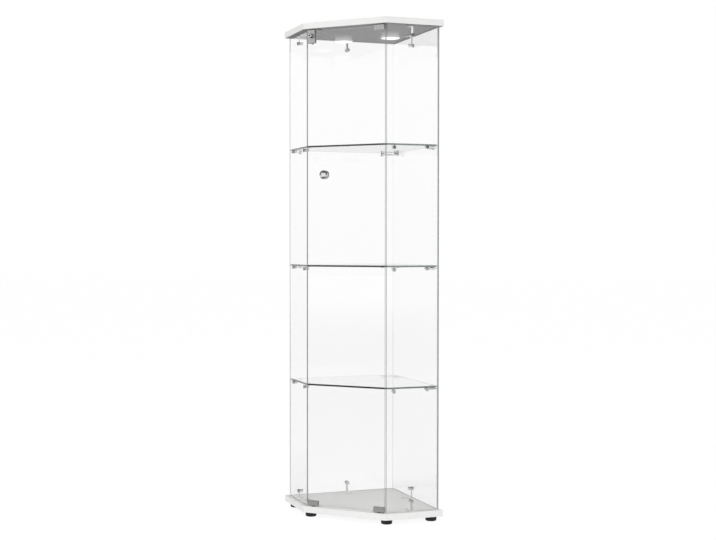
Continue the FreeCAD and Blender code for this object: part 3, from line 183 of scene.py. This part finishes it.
def makeGlass(name, settings, normal):
    # normal: the direction that the sheet's faces look along. An edge is only tinted where it is met from
    # outside, so that light in the sheet stays clear.
    material, shader = newMaterial(name, {"IOR": settings["ior"], "Specular IOR Level": settings["specular"],
                                          "Transmission Weight": 1.0})
    coord = addNode(material, "TexCoord")
    dot = addNode(material, "VectorMath", {0: coord["Normal"], 1: normal}, operation="DOT_PRODUCT")["Value"]
    inLine = addNode(material, "Math", {0: dot}, operation="ABSOLUTE")["Value"]
    away = addNode(material, "Math", {0: inLine, 1: settings["faceFrom"]}, operation="LESS_THAN")["Value"]
    inside = addNode(material, "NewGeometry")["Backfacing"]
    outside = addNode(material, "Math", {0: 1.0, 1: inside}, operation="SUBTRACT")["Value"]
    edge = addNode(material, "Math", {0: away, 1: outside}, operation="MULTIPLY")["Value"]
    marks = addNode(material, "TexNoise", {"Vector": coord["Object"], "Scale": 1 / (settings["grind"] * mm),
                                           "Detail": 3.0})["Fac"]
    low, high = settings["markRange"]
    ground = addNode(material, "ValToRGB", {"Fac": marks},
                     [(low, linear(settings["edgeDeep"])), (high, linear(settings["edge"]))])["Color"]
    # painted light: edges whose normal points right get the painted light colour in place of the ground one
    across = addNode(material, "SeparateXYZ", {"Vector": coord["Normal"]})["X"]
    paintedLightMask = addNode(material, "Math", {0: across, 1: settings["paintedLightFrom"]},
                      operation="GREATER_THAN")["Value"]
    edgeWithPaintedLight = addNode(material, "Mix", {0: paintedLightMask, 6: ground, 7: linear(settings["edgePaintedLight"])},
                   data_type="RGBA")[2]
    colour = addNode(material, "Mix", {0: edge, 6: linear(settings["face"]), 7: edgeWithPaintedLight}, data_type="RGBA")[2]
    frost = addNode(material, "Math", {0: edge, 1: settings["edgeRoughness"]}, operation="MULTIPLY")["Value"]
    clear = addNode(material, "MapRange", {"Value": edge, "To Min": 1.0,
                                           "To Max": settings["edgeClear"]})["Result"]
    fill(material, shader, {"Base Color": colour, "Roughness": frost, "Transmission Weight": clear})
    isShadow = addNode(material, "LightPath")["Is Shadow Ray"]
    passed = addNode(material, "BsdfTransparent", {"Color": linear(settings["shadow"])})["BSDF"]
    mixed = addNode(material, "MixShader", {0: isShadow, 1: shader.outputs["BSDF"], 2: passed})["Shader"]
    fill(material, material.node_tree.nodes["Material Output"], {"Surface": mixed})
    return material


slant = math.sqrt(0.5)
glassSheets = [
    (glass, (slant, -slant, 0), ("glass_back_left", "glass_side_right")),
    (glass, (slant, slant, 0), ("glass_back_right", "glass_side_left")),
    (glass, (0, 1, 0), ("door_glass",)),
    (shelfGlass, (0, 0, 1), ("shelf_lower", "shelf_middle", "shelf_upper")),
]

# Plated metals. Nickel over a polished body gives a clear mirror, small light and dark shapes side by side;
# over a blasted one it gives a soft pale grey sheen, and over machined brass one between the two. Zinc on
# turned steel is a duller, darker grey. Real grain of under 0.1 mm is too fine to show.
plating = {
    "grain": 0.4,                # mm, as coarse as it has to be
    "detail": 3.0,
    "grainRange": (0.3, 0.7),    # where it turns from the darker tone to the full one
    "shade": 0.88,               # the darker tone's share of the full one
    "bump": 0.08,
    "depth": 0.05,               # mm
}
nickel = {**plating, "colour": "f2f2f1", "roughness": (0.08, 0.22)}
satin = {**plating, "colour": "cacac9", "roughness": (0.29, 0.43)}
steel = {**plating, "colour": "8a8a89", "roughness": (0.25, 0.39)}
brass = {**plating, "colour": "d0d0cf", "roughness": (0.23, 0.37)}


def giveGrain(material, shader, settings, low, high):
    # one fine pattern gives a surface its tones, from the low colour to the high one, its gloss and relief
    place = addNode(material, "TexCoord")["Object"]
    grain = addNode(material, "TexNoise", {"Vector": place, "Scale": 1 / (settings["grain"] * mm),
                                           "Detail": settings["detail"]})["Fac"]
    start, end = settings["grainRange"]
    colour = addNode(material, "ValToRGB", {"Fac": grain}, [(start, low), (end, high)])["Color"]
    smooth, rough = settings["roughness"]
    gloss = addNode(material, "MapRange", {"Value": grain, "To Min": smooth, "To Max": rough})["Result"]
    bump = addNode(material, "Bump", {"Height": grain, "Strength": settings["bump"],
                                      "Distance": settings["depth"] * mm})["Normal"]
    fill(material, shader, {"Base Color": colour, "Roughness": gloss, "Normal": bump})


def makeMetal(name, settings):
    material, shader = newMaterial(name, {"Metallic": 1.0})
    tone = linear(settings["colour"])
    giveGrain(material, shader, settings, darker(tone, settings["shade"]), tone)
    return material


brightNickel = makeMetal("bright nickel, plated", nickel)
satinNickel = makeMetal("satin nickel, plated", satin)
zincSteel = makeMetal("zinc plated steel, turned", steel)
plugBrass = makeMetal("nickel plated brass, machined", brass)

# Moulded and pressed plastics. The mould's grain breaks up the sheen, so none of them mirrors. Real grain of
# 0.1 to 0.2 mm, and the laminate's threads of 0.5 mm, are too fine to show and are drawn coarser.
plastic = {
    "detail": 4.0,
    "grainRange": (0.3, 0.7),    # where the grain turns from the one colour to the light one
    "depth": 0.1,                # mm
}
# polypropylene, moulded: a dull black with a soft highlight
blackPlastic = {**plastic, "colour": "1b1b1c", "light": "262627", "grain": 0.5, "roughness": (0.42, 0.6),
                "bump": 0.25}
# vinyl, moulded: milky and half clear
softPlastic = {**plastic, "colour": "e6e6e4", "light": "f0f0ee", "grain": 0.8, "roughness": (0.27, 0.45),
               "bump": 0.1, "clear": 0.6}
# polycarbonate, moulded: pale grey and thin; the lamp's light through it is painted on as a glow, most at the
# rim, less at the board
lampPlastic = {**plastic, "colour": "c9c9c9", "light": "d2d2d2", "grain": 0.7, "roughness": (0.32, 0.5),
               "bump": 0.08, "glow": (0.34, 0.1)}
# acrylic, moulded: an even white that hides the light board behind it
opal = {**plastic, "colour": "f4f4f2", "light": "fafaf8", "grain": 0.9, "roughness": (0.27, 0.45),
        "bump": 0.05, "glow": 0.9}
# glass cloth laminate, pressed: cream, with its threads showing faintly
laminate = {**plastic, "colour": "d8d2ae", "light": "eeeadb", "grain": 2.0, "roughness": (0.42, 0.6),
            "bump": 0.1}
lampLight = linear("ffffff")


def makeMoulded(name, settings, inputs=None):
    material, shader = newMaterial(name, {"IOR": 1.5, **(inputs or {})})
    giveGrain(material, shader, settings, linear(settings["colour"]), linear(settings["light"]))
    return material


slotMaterials = {
    "white_board": melamine,
    "white_band": melamine,
    "satin_fitting": satinNickel,
    "chrome_fitting": brightNickel,
    "screw_steel": zincSteel,
    "lock_brass": plugBrass,
    "clear_soft": makeMoulded("clear vinyl, moulded", softPlastic,
                              {"Transmission Weight": softPlastic["clear"]}),
    "black_plastic": makeMoulded("black polypropylene, moulded", blackPlastic),
    "lamp_shell": makeMoulded("light grey polycarbonate, moulded", lampPlastic,
                              {"Emission Color": lampLight}),
    "lamp_lens": makeMoulded("opal acrylic, moulded", opal,
                             {"Emission Color": lampLight, "Emission Strength": opal["glow"]}),
    "light_board": makeMoulded("circuit laminate, pressed", laminate),
}


def paintShellGlow(material, settings):
    # painted light: the shell glows, most at its rim and less up to the board
    low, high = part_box("lamp_bodies")
    rim, top = settings["glow"]
    place = addNode(material, "TexCoord")["Object"]
    rise = addNode(material, "SeparateXYZ", {"Vector": place})["Z"]
    glow = addNode(material, "MapRange", {"Value": rise, "From Min": low[2], "From Max": high[2],
                                          "To Min": rim, "To Max": top})["Result"]
    fill(material, material.node_tree.nodes["Principled BSDF"], {"Emission Strength": glow})


paintShellGlow(slotMaterials["lamp_shell"], lampPlastic)

# painted shade: the plug's face is dark round the keyway, as its hollow in shade, and has the plug's own
# colour at its rim
keyway = {"paintedShade": "161615", "rim": "d0d0cf", "dark": 2.6, "bright": 3.6}     # radii in mm


def paintKeywayShade(material, settings):
    # painted shade round the keyway, going over to the plug's own colour at its rim
    low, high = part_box("lock_plug")
    centre = ((low[0] + high[0]) / 2, 0, (low[2] + high[2]) / 2)
    place = addNode(material, "TexCoord")["Object"]
    flat = addNode(material, "VectorMath", {0: place, 1: (1, 0, 1)}, operation="MULTIPLY")["Vector"]
    away = addNode(material, "VectorMath", {0: flat, 1: centre}, operation="DISTANCE")["Value"]
    share = addNode(material, "MapRange", {"Value": away, "From Min": settings["dark"] * mm,
                                           "From Max": settings["bright"] * mm})["Result"]
    colour = addNode(material, "Mix", {0: share, 6: linear(settings["paintedShade"]), 7: linear(settings["rim"])},
                     data_type="RGBA")[2]
    fill(material, material.node_tree.nodes["Principled BSDF"], {"Base Color": colour})


paintKeywayShade(plugBrass, keyway)

# painted dark reflection: the barrel behind its ring is painted black above and below, and keeps the nickel
# colour at its two sides
barrelDark = {
    "black": "1c1c1b",
    "bright": "f2f2f1",
    "ring": 2.6,     # mm along the barrel
    "flat": 0.42,    # Z of the normal, up to where the nickel colour stays
}


def blackenThread(name, settings):
    material = makeMetal(name, nickel)
    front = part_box("lock_barrel")[0][1]
    coord = addNode(material, "TexCoord")
    depth = addNode(material, "SeparateXYZ", {"Vector": coord["Object"]})["Y"]
    upward = addNode(material, "SeparateXYZ", {"Vector": coord["Normal"]})["Z"]
    # painted dark reflection on the barrel's upper and lower sides behind the ring
    behind = addNode(material, "Math", {0: depth, 1: front + settings["ring"] * mm},
                     operation="GREATER_THAN")["Value"]
    steep = addNode(material, "Math", {0: upward}, operation="ABSOLUTE")["Value"]
    rounded = addNode(material, "Math", {0: steep, 1: settings["flat"]}, operation="GREATER_THAN")["Value"]
    share = addNode(material, "Math", {0: behind, 1: rounded}, operation="MULTIPLY")["Value"]
    colour = addNode(material, "Mix", {0: share, 6: linear(settings["bright"]), 7: linear(settings["black"])},
                     data_type="RGBA")[2]
    fill(material, material.node_tree.nodes["Principled BSDF"], {"Base Color": colour})
    return material


def paint(piece, material):
    piece.data.materials.clear()
    piece.data.materials.append(material)


ownMaterials = {"lock_barrel": blackenThread("nickel plated barrel, thread blackened", barrelDark)}
for settings, normal, sheets in glassSheets:
    ownMaterials.update(dict.fromkeys(sheets, makeGlass("float glass, edges ground", settings, normal)))
for name, piece in nodes.items():
    paint(piece, ownMaterials[name] if name in ownMaterials else slotMaterials[slotOf[name]])
print("frame painted")

# new pieces: each takes the place of its CAD node and rides on the same body


def stand(name, mesh, material):
    # the piece that is shown for a CAD node
    piece = bpy.data.objects.new(name + "_shown", mesh)
    bpy.context.collection.objects.link(piece)
    paint(piece, material)
    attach(piece, bodyOf[name])
    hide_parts(name)


# eased edges: how wide the rounding of each node's sharp edges is, in mm
eased = {
    "hinge_clamp_lower": 0.7, "hinge_clamp_upper": 0.7, "catch_clamp": 0.7, "lock_housing": 0.7,
    "bracket_drum_nuts": 0.4, "shelf_drum_nuts": 0.4, "bracket_cap_screws": 0.5, "shelf_cap_screws": 0.5,
    "lower_panel_brackets": 0.35, "upper_panel_brackets": 0.35,
    "shelf_connectors_lower": 0.35, "shelf_connectors_middle": 0.35, "shelf_connectors_upper": 0.35,
    "shelf_supports_lower": 0.35, "shelf_supports_middle": 0.35, "shelf_supports_upper": 0.35,
    "lock_barrel": 0.5, "lock_plug": 0.2, "lock_cam": 0.3, "lock_strike": 0.2,
    "lamp_bodies": 0.5, "lamp_lenses": 1.0, "hinge_glide": 0.3, "catch_cup": 0.3,
    "foot_back": 0.8, "foot_left": 0.8, "foot_right": 0.8, "foot_front_left": 0.8, "foot_front_right": 0.8,
}
easing = {
    "segments": 3,
    "sharp": 35,        # degrees: two faces that meet at more have a crease between them, and it is eased
    "flat": 1.0,        # degrees: two faces that meet at less become one
    "merge": 0.004,     # mm between points that become one
    "broad": 0.8,       # mm: a face with more area than this times its outline is a true flat
}


def smoothByAngle(mesh, settings):
    # smooth faces with creases between them; a true flat is shaded as one
    work = bmesh.new()
    work.from_mesh(mesh)
    for face in work.faces:
        face.smooth = face.calc_area() < settings["broad"] * mm * face.calc_perimeter()
    sharp = math.radians(settings["sharp"])
    for edge in work.edges:
        edge.smooth = len(edge.link_faces) == 2 and edge.calc_face_angle(0) < sharp
    work.to_mesh(mesh)
    work.free()


def easeEdges(name, width, settings):
    # a merged copy of the node with its sharp edges rounded
    source = nodes[name].data.copy()
    work = bmesh.new()
    work.from_mesh(source)
    bmesh.ops.remove_doubles(work, verts=work.verts, dist=settings["merge"] * mm)
    bmesh.ops.dissolve_limit(work, angle_limit=math.radians(settings["flat"]), verts=work.verts,
                             edges=work.edges)
    work.to_mesh(source)
    work.free()
    rough = bpy.data.objects.new("rough", source)
    bpy.context.collection.objects.link(rough)
    modifier = rough.modifiers.new("eased", "BEVEL")
    modifier.width = width * mm
    modifier.segments = settings["segments"]
    modifier.limit_method = "ANGLE"
    modifier.angle_limit = math.radians(settings["sharp"])
    mesh = bpy.data.meshes.new_from_object(rough.evaluated_get(bpy.context.evaluated_depsgraph_get()))
    bpy.data.objects.remove(rough)
    smoothByAngle(mesh, settings)
    stand(name, mesh, nodes[name].data.materials[0])


for name, width in eased.items():
    easeEdges(name, width, easing)
print("edges eased")

# knob: two turned buttons with crowned faces, one on each side of the door glass. Sizes are in mm, and
# heights are measured from the glass.
knob = {
    "radius": 15.8, "face": 12.8, "crown": 3.6, "rounding": 1.8,     # front
    "waist": 0.3, "waistRounding": 1.5,                              # how far the side is drawn in
    "back": 2.8, "backRounding": 1.2,
    "neck": 9.0, "neckRounding": 0.3, "seat": 0.8,                   # the neck's radius and where it ends
    "crownReach": 0.9,     # share of the radius, up to where the crown's curve runs
    "crownPoints": 10, "arcPoints": 7, "sides": 128,
}
knobCap = {**knob, "radius": 15.3, "face": 8.8, "crown": 1.4, "rounding": 1.6, "waist": 0.2, "back": 0.8,
           "neck": 14.9}


def roundedProfile(corners, arcPoints):
    # a profile through corners (radius, height, rounding): each corner becomes an arc that starts and ends
    # at the rounding's distance along its two sides, as a curve a*(1-t)^2 + 2*b*t*(1-t) + c*t^2
    points = []
    steps = np.linspace(0, 1, arcPoints)[:, None]
    for index, (across, along, rounding) in enumerate(corners):
        here = np.array([across, along], float)
        if rounding == 0:
            points.append(here[None, :])
            continue
        before = np.array(corners[index - 1][:2], float) - here
        after = np.array(corners[index + 1][:2], float) - here
        start = here + before / np.linalg.norm(before) * rounding
        end = here + after / np.linalg.norm(after) * rounding
        points.append(start * (1 - steps) ** 2 + 2 * here * steps * (1 - steps) + end * steps ** 2)
    return np.vstack(points)


def turnedMesh(name, profile, centre, outward, count):
    # a surface turned about a line along Y: the point of profile pair (r, h) at angle t is
    # centre + h * axis + r * (cos t * side + sin t * across). It is closed by a fan at each end, where r = 0.
    axis = np.array((0.0, outward, 0.0))
    side = np.array((1.0, 0.0, 0.0))
    across = np.cross(axis, side)
    turn = np.linspace(0, 2 * math.pi, count, endpoint=False)
    circle = np.cos(turn)[:, None] * side + np.sin(turn)[:, None] * across
    radii, heights = profile[:, 0] * mm, profile[:, 1] * mm
    body = slice(1, -1)
    rings = np.array(centre) + heights[body, None, None] * axis + radii[body, None, None] * circle[None]
    poles = np.array(centre) + heights[[0, -1], None] * axis
    vertices = np.vstack([rings.reshape(-1, 3), poles])
    ringCount = len(profile) - 2
    here = np.arange(count)
    following = (here + 1) % count
    first = np.arange(ringCount - 1)[:, None] * count
    quads = np.stack([first + here, first + following, first + count + following, first + count + here],
                     axis=-1).reshape(-1, 4)
    startPole, endPole = ringCount * count, ringCount * count + 1
    lastRing = (ringCount - 1) * count
    startFan = np.stack([np.full(count, startPole), following, here], axis=-1)
    endFan = np.stack([np.full(count, endPole), lastRing + here, lastRing + following], axis=-1)
    mesh = bpy.data.meshes.new(name)
    mesh.from_pydata(vertices.tolist(), [], quads.tolist() + startFan.tolist() + endFan.tolist())
    work = bmesh.new()
    work.from_mesh(mesh)
    bmesh.ops.recalc_face_normals(work, faces=work.faces)
    work.to_mesh(mesh)
    work.free()
    smoothByAngle(mesh, easing)
    return mesh


def makeButton(name, settings, doorFace, outward):
    # the crown is a parabola: its height falls by crown * (r / radius)^2 from the middle
    low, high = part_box(name)
    centre = ((low[0] + high[0]) / 2, doorFace, (low[2] + high[2]) / 2)
    radius, neck, back, seat = (settings[key] for key in ("radius", "neck", "back", "seat"))
    face, crown = settings["face"], settings["crown"]
    shares = np.linspace(0, settings["crownReach"], settings["crownPoints"])
    corners = [(radius * share, face - crown * share ** 2, 0) for share in shares]
    corners += [
        (radius, face - crown, settings["rounding"]),
        (radius - settings["waist"], (face - crown + back) / 2, settings["waistRounding"]),
        (radius, back, settings["backRounding"]),
        (neck, back, settings["neckRounding"]),
        (neck, seat, 0),
        (0, seat, 0),
    ]
    profile = roundedProfile(corners, settings["arcPoints"])
    stand(name, turnedMesh(name, profile, centre, outward, settings["sides"]), brightNickel)


doorLow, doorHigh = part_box("door_glass")
makeButton("knob_outer", knob, doorLow[1], -1)
makeButton("knob_inner", knobCap, doorHigh[1], 1)
print("knob turned")

# stage: pale floor, white background, soft light from above. A ray that has bounced off a matt surface
# meets a darker floor, and a mirrored ray meets a studio with a bright band at eye level. Levels are linear.
stage = {
    "size": 60,                 # m across
    "colour": "dcdcdc",
    "roughness": 0.8,
    "ior": 1.2,                 # low, for a matt paint
    "cloudSize": 700,           # mm, faint unevenness of the paint
    "cloudRange": (0.3, 0.7),
    "shade": 0.98,              # the darker spots' share of the colour
    "glow": 0.86,               # the share that shines by itself, so that only a faint shadow is left
    "seen": 1.08,               # how bright that is, seen straight
    "seenThrough": 1.03,        # and seen through glass
    "reach": 20,                # m, up to where the lists below may go
    # each list gives m from the middle and a level or colour there
    "bounce": [(0.5, "b0b0b0"), (0.9, "5a5a5a")],             # as matt surfaces behind glass meet it
    "bounceOpen": [(0.5, "e6e6e6"), (0.9, "848484")],         # as outer matt surfaces meet it
    "glass": [(0.25, 0.3), (0.5, 0.45), (3.0, 0.42), (9.0, 0.55), (12.0, 0.7), (17.0, 0.96)],
    "metal": [(0.5, 0.5), (0.9, 0.5), (1.3, 0.12), (2.6, 0.12), (5.5, 0.9)],
    "glassBehind": 0.87,        # the level that glass meets behind the cabinet
    "behind": (-0.6, 0.5),      # m along Y, from where to where that comes in
    "beside": (0.3, 0.55),      # m from the middle, from where to where it comes in
}
# levels of the sky by the sine of the height, 0 at the horizon and 1 overhead
sky = {
    "inside": (0.62, 1.48),     # at the horizon and overhead, for what stands behind glass
    "open": (1.18, 0.56),       # the same for outer faces
    "overhead": 0.7,            # from where on the second level holds
    "mirror": [(0.0, 0.92), (0.08, 0.98), (0.24, 1.04), (0.42, 0.12)],     # bright at eye level, dark above
    # bare metal also meets a window: its level by X, 0 at the far left and 1 at the far right
    "window": [(0.08, 0.15), (0.17, 1), (0.5, 1), (0.6, 0.15)],
}


def grey(level):
    return [level, level, level, 1]


def pathMasks(owner):
    # 1 where a ray has bounced off a matt surface, where it was mirrored, and where it met no glass yet
    path = addNode(owner, "LightPath")
    half = 0.5     # between none and one, as these are counts
    bounced = addNode(owner, "Math", {0: path["Diffuse Depth"], 1: half}, operation="GREATER_THAN")["Value"]
    mirrored = addNode(owner, "Math", {0: path["Glossy Depth"], 1: half}, operation="GREATER_THAN")["Value"]
    glassMet = addNode(owner, "Math", {0: path["Is Singular Ray"], 1: path["Transmission Depth"]},
                       operation="ADD")["Value"]
    bare = addNode(owner, "Math", {0: glassMet, 1: half}, operation="LESS_THAN")["Value"]
    return bounced, mirrored, bare


def makeFloor(settings):
    half = settings["size"] / 2
    mesh = bpy.data.meshes.new("floor")
    mesh.from_pydata([(-half, -half, 0), (half, -half, 0), (half, half, 0), (-half, half, 0)], [],
                     [(0, 1, 2, 3)])
    floor = bpy.data.objects.new("floor", mesh)
    bpy.context.collection.objects.link(floor)
    material, shader = newMaterial("studio floor, painted",
                                   {"Roughness": settings["roughness"], "IOR": settings["ior"]})
    bounced, mirrored, bare = pathMasks(material)
    place = addNode(material, "TexCoord")["Object"]
    away = addNode(material, "VectorMath", {0: place}, operation="LENGTH")["Value"]
    reach = settings["reach"]
    far = addNode(material, "MapRange", {"Value": away, "From Max": reach})["Result"]

    # the floor as a matt surface meets it
    cloud = addNode(material, "TexNoise", {"Vector": place, "Scale": 1 / (settings["cloudSize"] * mm),
                                           "Detail": 2.0})["Fac"]
    pale = linear(settings["colour"])
    low, high = settings["cloudRange"]
    painted = addNode(material, "ValToRGB", {"Fac": cloud},
                      [(low, darker(pale, settings["shade"])), (high, pale)])["Color"]
    inside, outer = (
        addNode(material, "ValToRGB", {"Fac": far},
                [(way / reach, linear(code)) for way, code in settings[kind]])["Color"]
        for kind in ("bounce", "bounceOpen")
    )
    matt = addNode(material, "Mix", {0: bare, 6: inside, 7: outer}, data_type="RGBA")[2]
    colour = addNode(material, "Mix", {0: bounced, 6: painted, 7: matt}, data_type="RGBA")[2]
    fill(material, shader, {"Base Color": colour})

    # the floor as a mirrored ray meets it
    inGlass, inMetal = (
        addNode(material, "ValToRGB", {"Fac": far},
                [(way / reach, grey(level)) for way, level in settings[kind]])["Color"]
        for kind in ("glass", "metal")
    )
    depth = addNode(material, "SeparateXYZ", {"Vector": place})["Y"]
    behind, beside = (
        addNode(material, "MapRange", {"Value": value, "From Min": start, "From Max": end})["Result"]
        for value, (start, end) in ((depth, settings["behind"]), (away, settings["beside"]))
    )
    share = addNode(material, "Math", {0: behind, 1: beside}, operation="MULTIPLY")["Value"]
    inGlass = addNode(material, "Mix", {0: share, 6: inGlass, 7: grey(settings["glassBehind"])},
                      data_type="RGBA")[2]
    reflected = addNode(material, "Mix", {0: bare, 6: inGlass, 7: inMetal}, data_type="RGBA")[2]

    # the floor as the camera sees it: a white that the shadow shows through
    plain = addNode(material, "Mix", {0: bare, 6: grey(settings["seenThrough"]), 7: grey(settings["seen"])},
                    data_type="RGBA")[2]
    seen = addNode(material, "Mix", {0: mirrored, 6: plain, 7: reflected}, data_type="RGBA")[2]
    glow = addNode(material, "Emission", {"Color": seen, "Strength": 1.0})["Emission"]
    share = addNode(material, "MapRange", {"Value": mirrored, "To Min": settings["glow"],
                                           "To Max": 1.0})["Result"]
    unbounced = addNode(material, "Math", {0: 1.0, 1: bounced}, operation="SUBTRACT")["Value"]
    share = addNode(material, "Math", {0: share, 1: unbounced}, operation="MULTIPLY")["Value"]
    mixed = addNode(material, "MixShader", {0: share, 1: shader.outputs["BSDF"], 2: glow})["Shader"]
    fill(material, material.node_tree.nodes["Material Output"], {"Surface": mixed})
    paint(floor, material)


def makeSky(settings):
    world = bpy.data.worlds.new("studio")
    bpy.context.scene.world = world
    world.use_nodes = True
    bounced, mirrored, bare = pathMasks(world)
    way = addNode(world, "SeparateXYZ", {"Vector": addNode(world, "TexCoord")["Generated"]})
    inside, outer = (
        addNode(world, "ValToRGB", {"Fac": way["Z"]},
                [(0, grey(settings[kind][0])), (settings["overhead"], grey(settings[kind][1]))])["Color"]
        for kind in ("inside", "open")
    )
    soft = addNode(world, "Mix", {0: bare, 6: inside, 7: outer}, data_type="RGBA")[2]
    band = addNode(world, "ValToRGB", {"Fac": way["Z"]},
                   [(rise, grey(level)) for rise, level in settings["mirror"]])["Color"]
    across = addNode(world, "MapRange", {"Value": way["X"], "From Min": -1.0})["Result"]
    window = addNode(world, "ValToRGB", {"Fac": across},
                     [(place, grey(level)) for place, level in settings["window"]])["Color"]
    reflected = addNode(world, "Mix", {0: bare, 6: band, 7: window}, data_type="RGBA",
                        blend_type="MULTIPLY")[2]
    seen = addNode(world, "Mix", {0: mirrored, 6: grey(1.0), 7: reflected}, data_type="RGBA")[2]
    colour = addNode(world, "Mix", {0: bounced, 6: seen, 7: soft}, data_type="RGBA")[2]
    fill(world, world.node_tree.nodes["Background"], {"Color": colour})


makeFloor(stage)
makeSky(sky)

lamps = {
    "front": {"place": (-1.6, -3.6, 2.75), "aim": (0, 0, 0.9), "size": 1.7, "power": 66},     # m and W
    "right": {"place": (3.6, -2.0, 2.6), "aim": (0, 0, 0.9), "size": 1.5, "power": 50},
}


def makeLamp(name, settings):
    # mirrors and glass don't show the lamp itself
    data = bpy.data.lights.new(name, "AREA")
    data.shape = "SQUARE"
    data.size = settings["size"]
    data.energy = settings["power"]
    lamp = bpy.data.objects.new(name, data)
    lamp.location = settings["place"]
    way = Vector(settings["aim"]) - Vector(settings["place"])
    lamp.rotation_euler = way.to_track_quat("-Z", "Y").to_euler()
    lamp.visible_glossy = False
    lamp.visible_transmission = False
    bpy.context.collection.objects.link(lamp)


for name, settings in lamps.items():
    makeLamp(name, settings)
bpy.context.scene.view_settings.view_transform = "Standard"
print("stage lit")
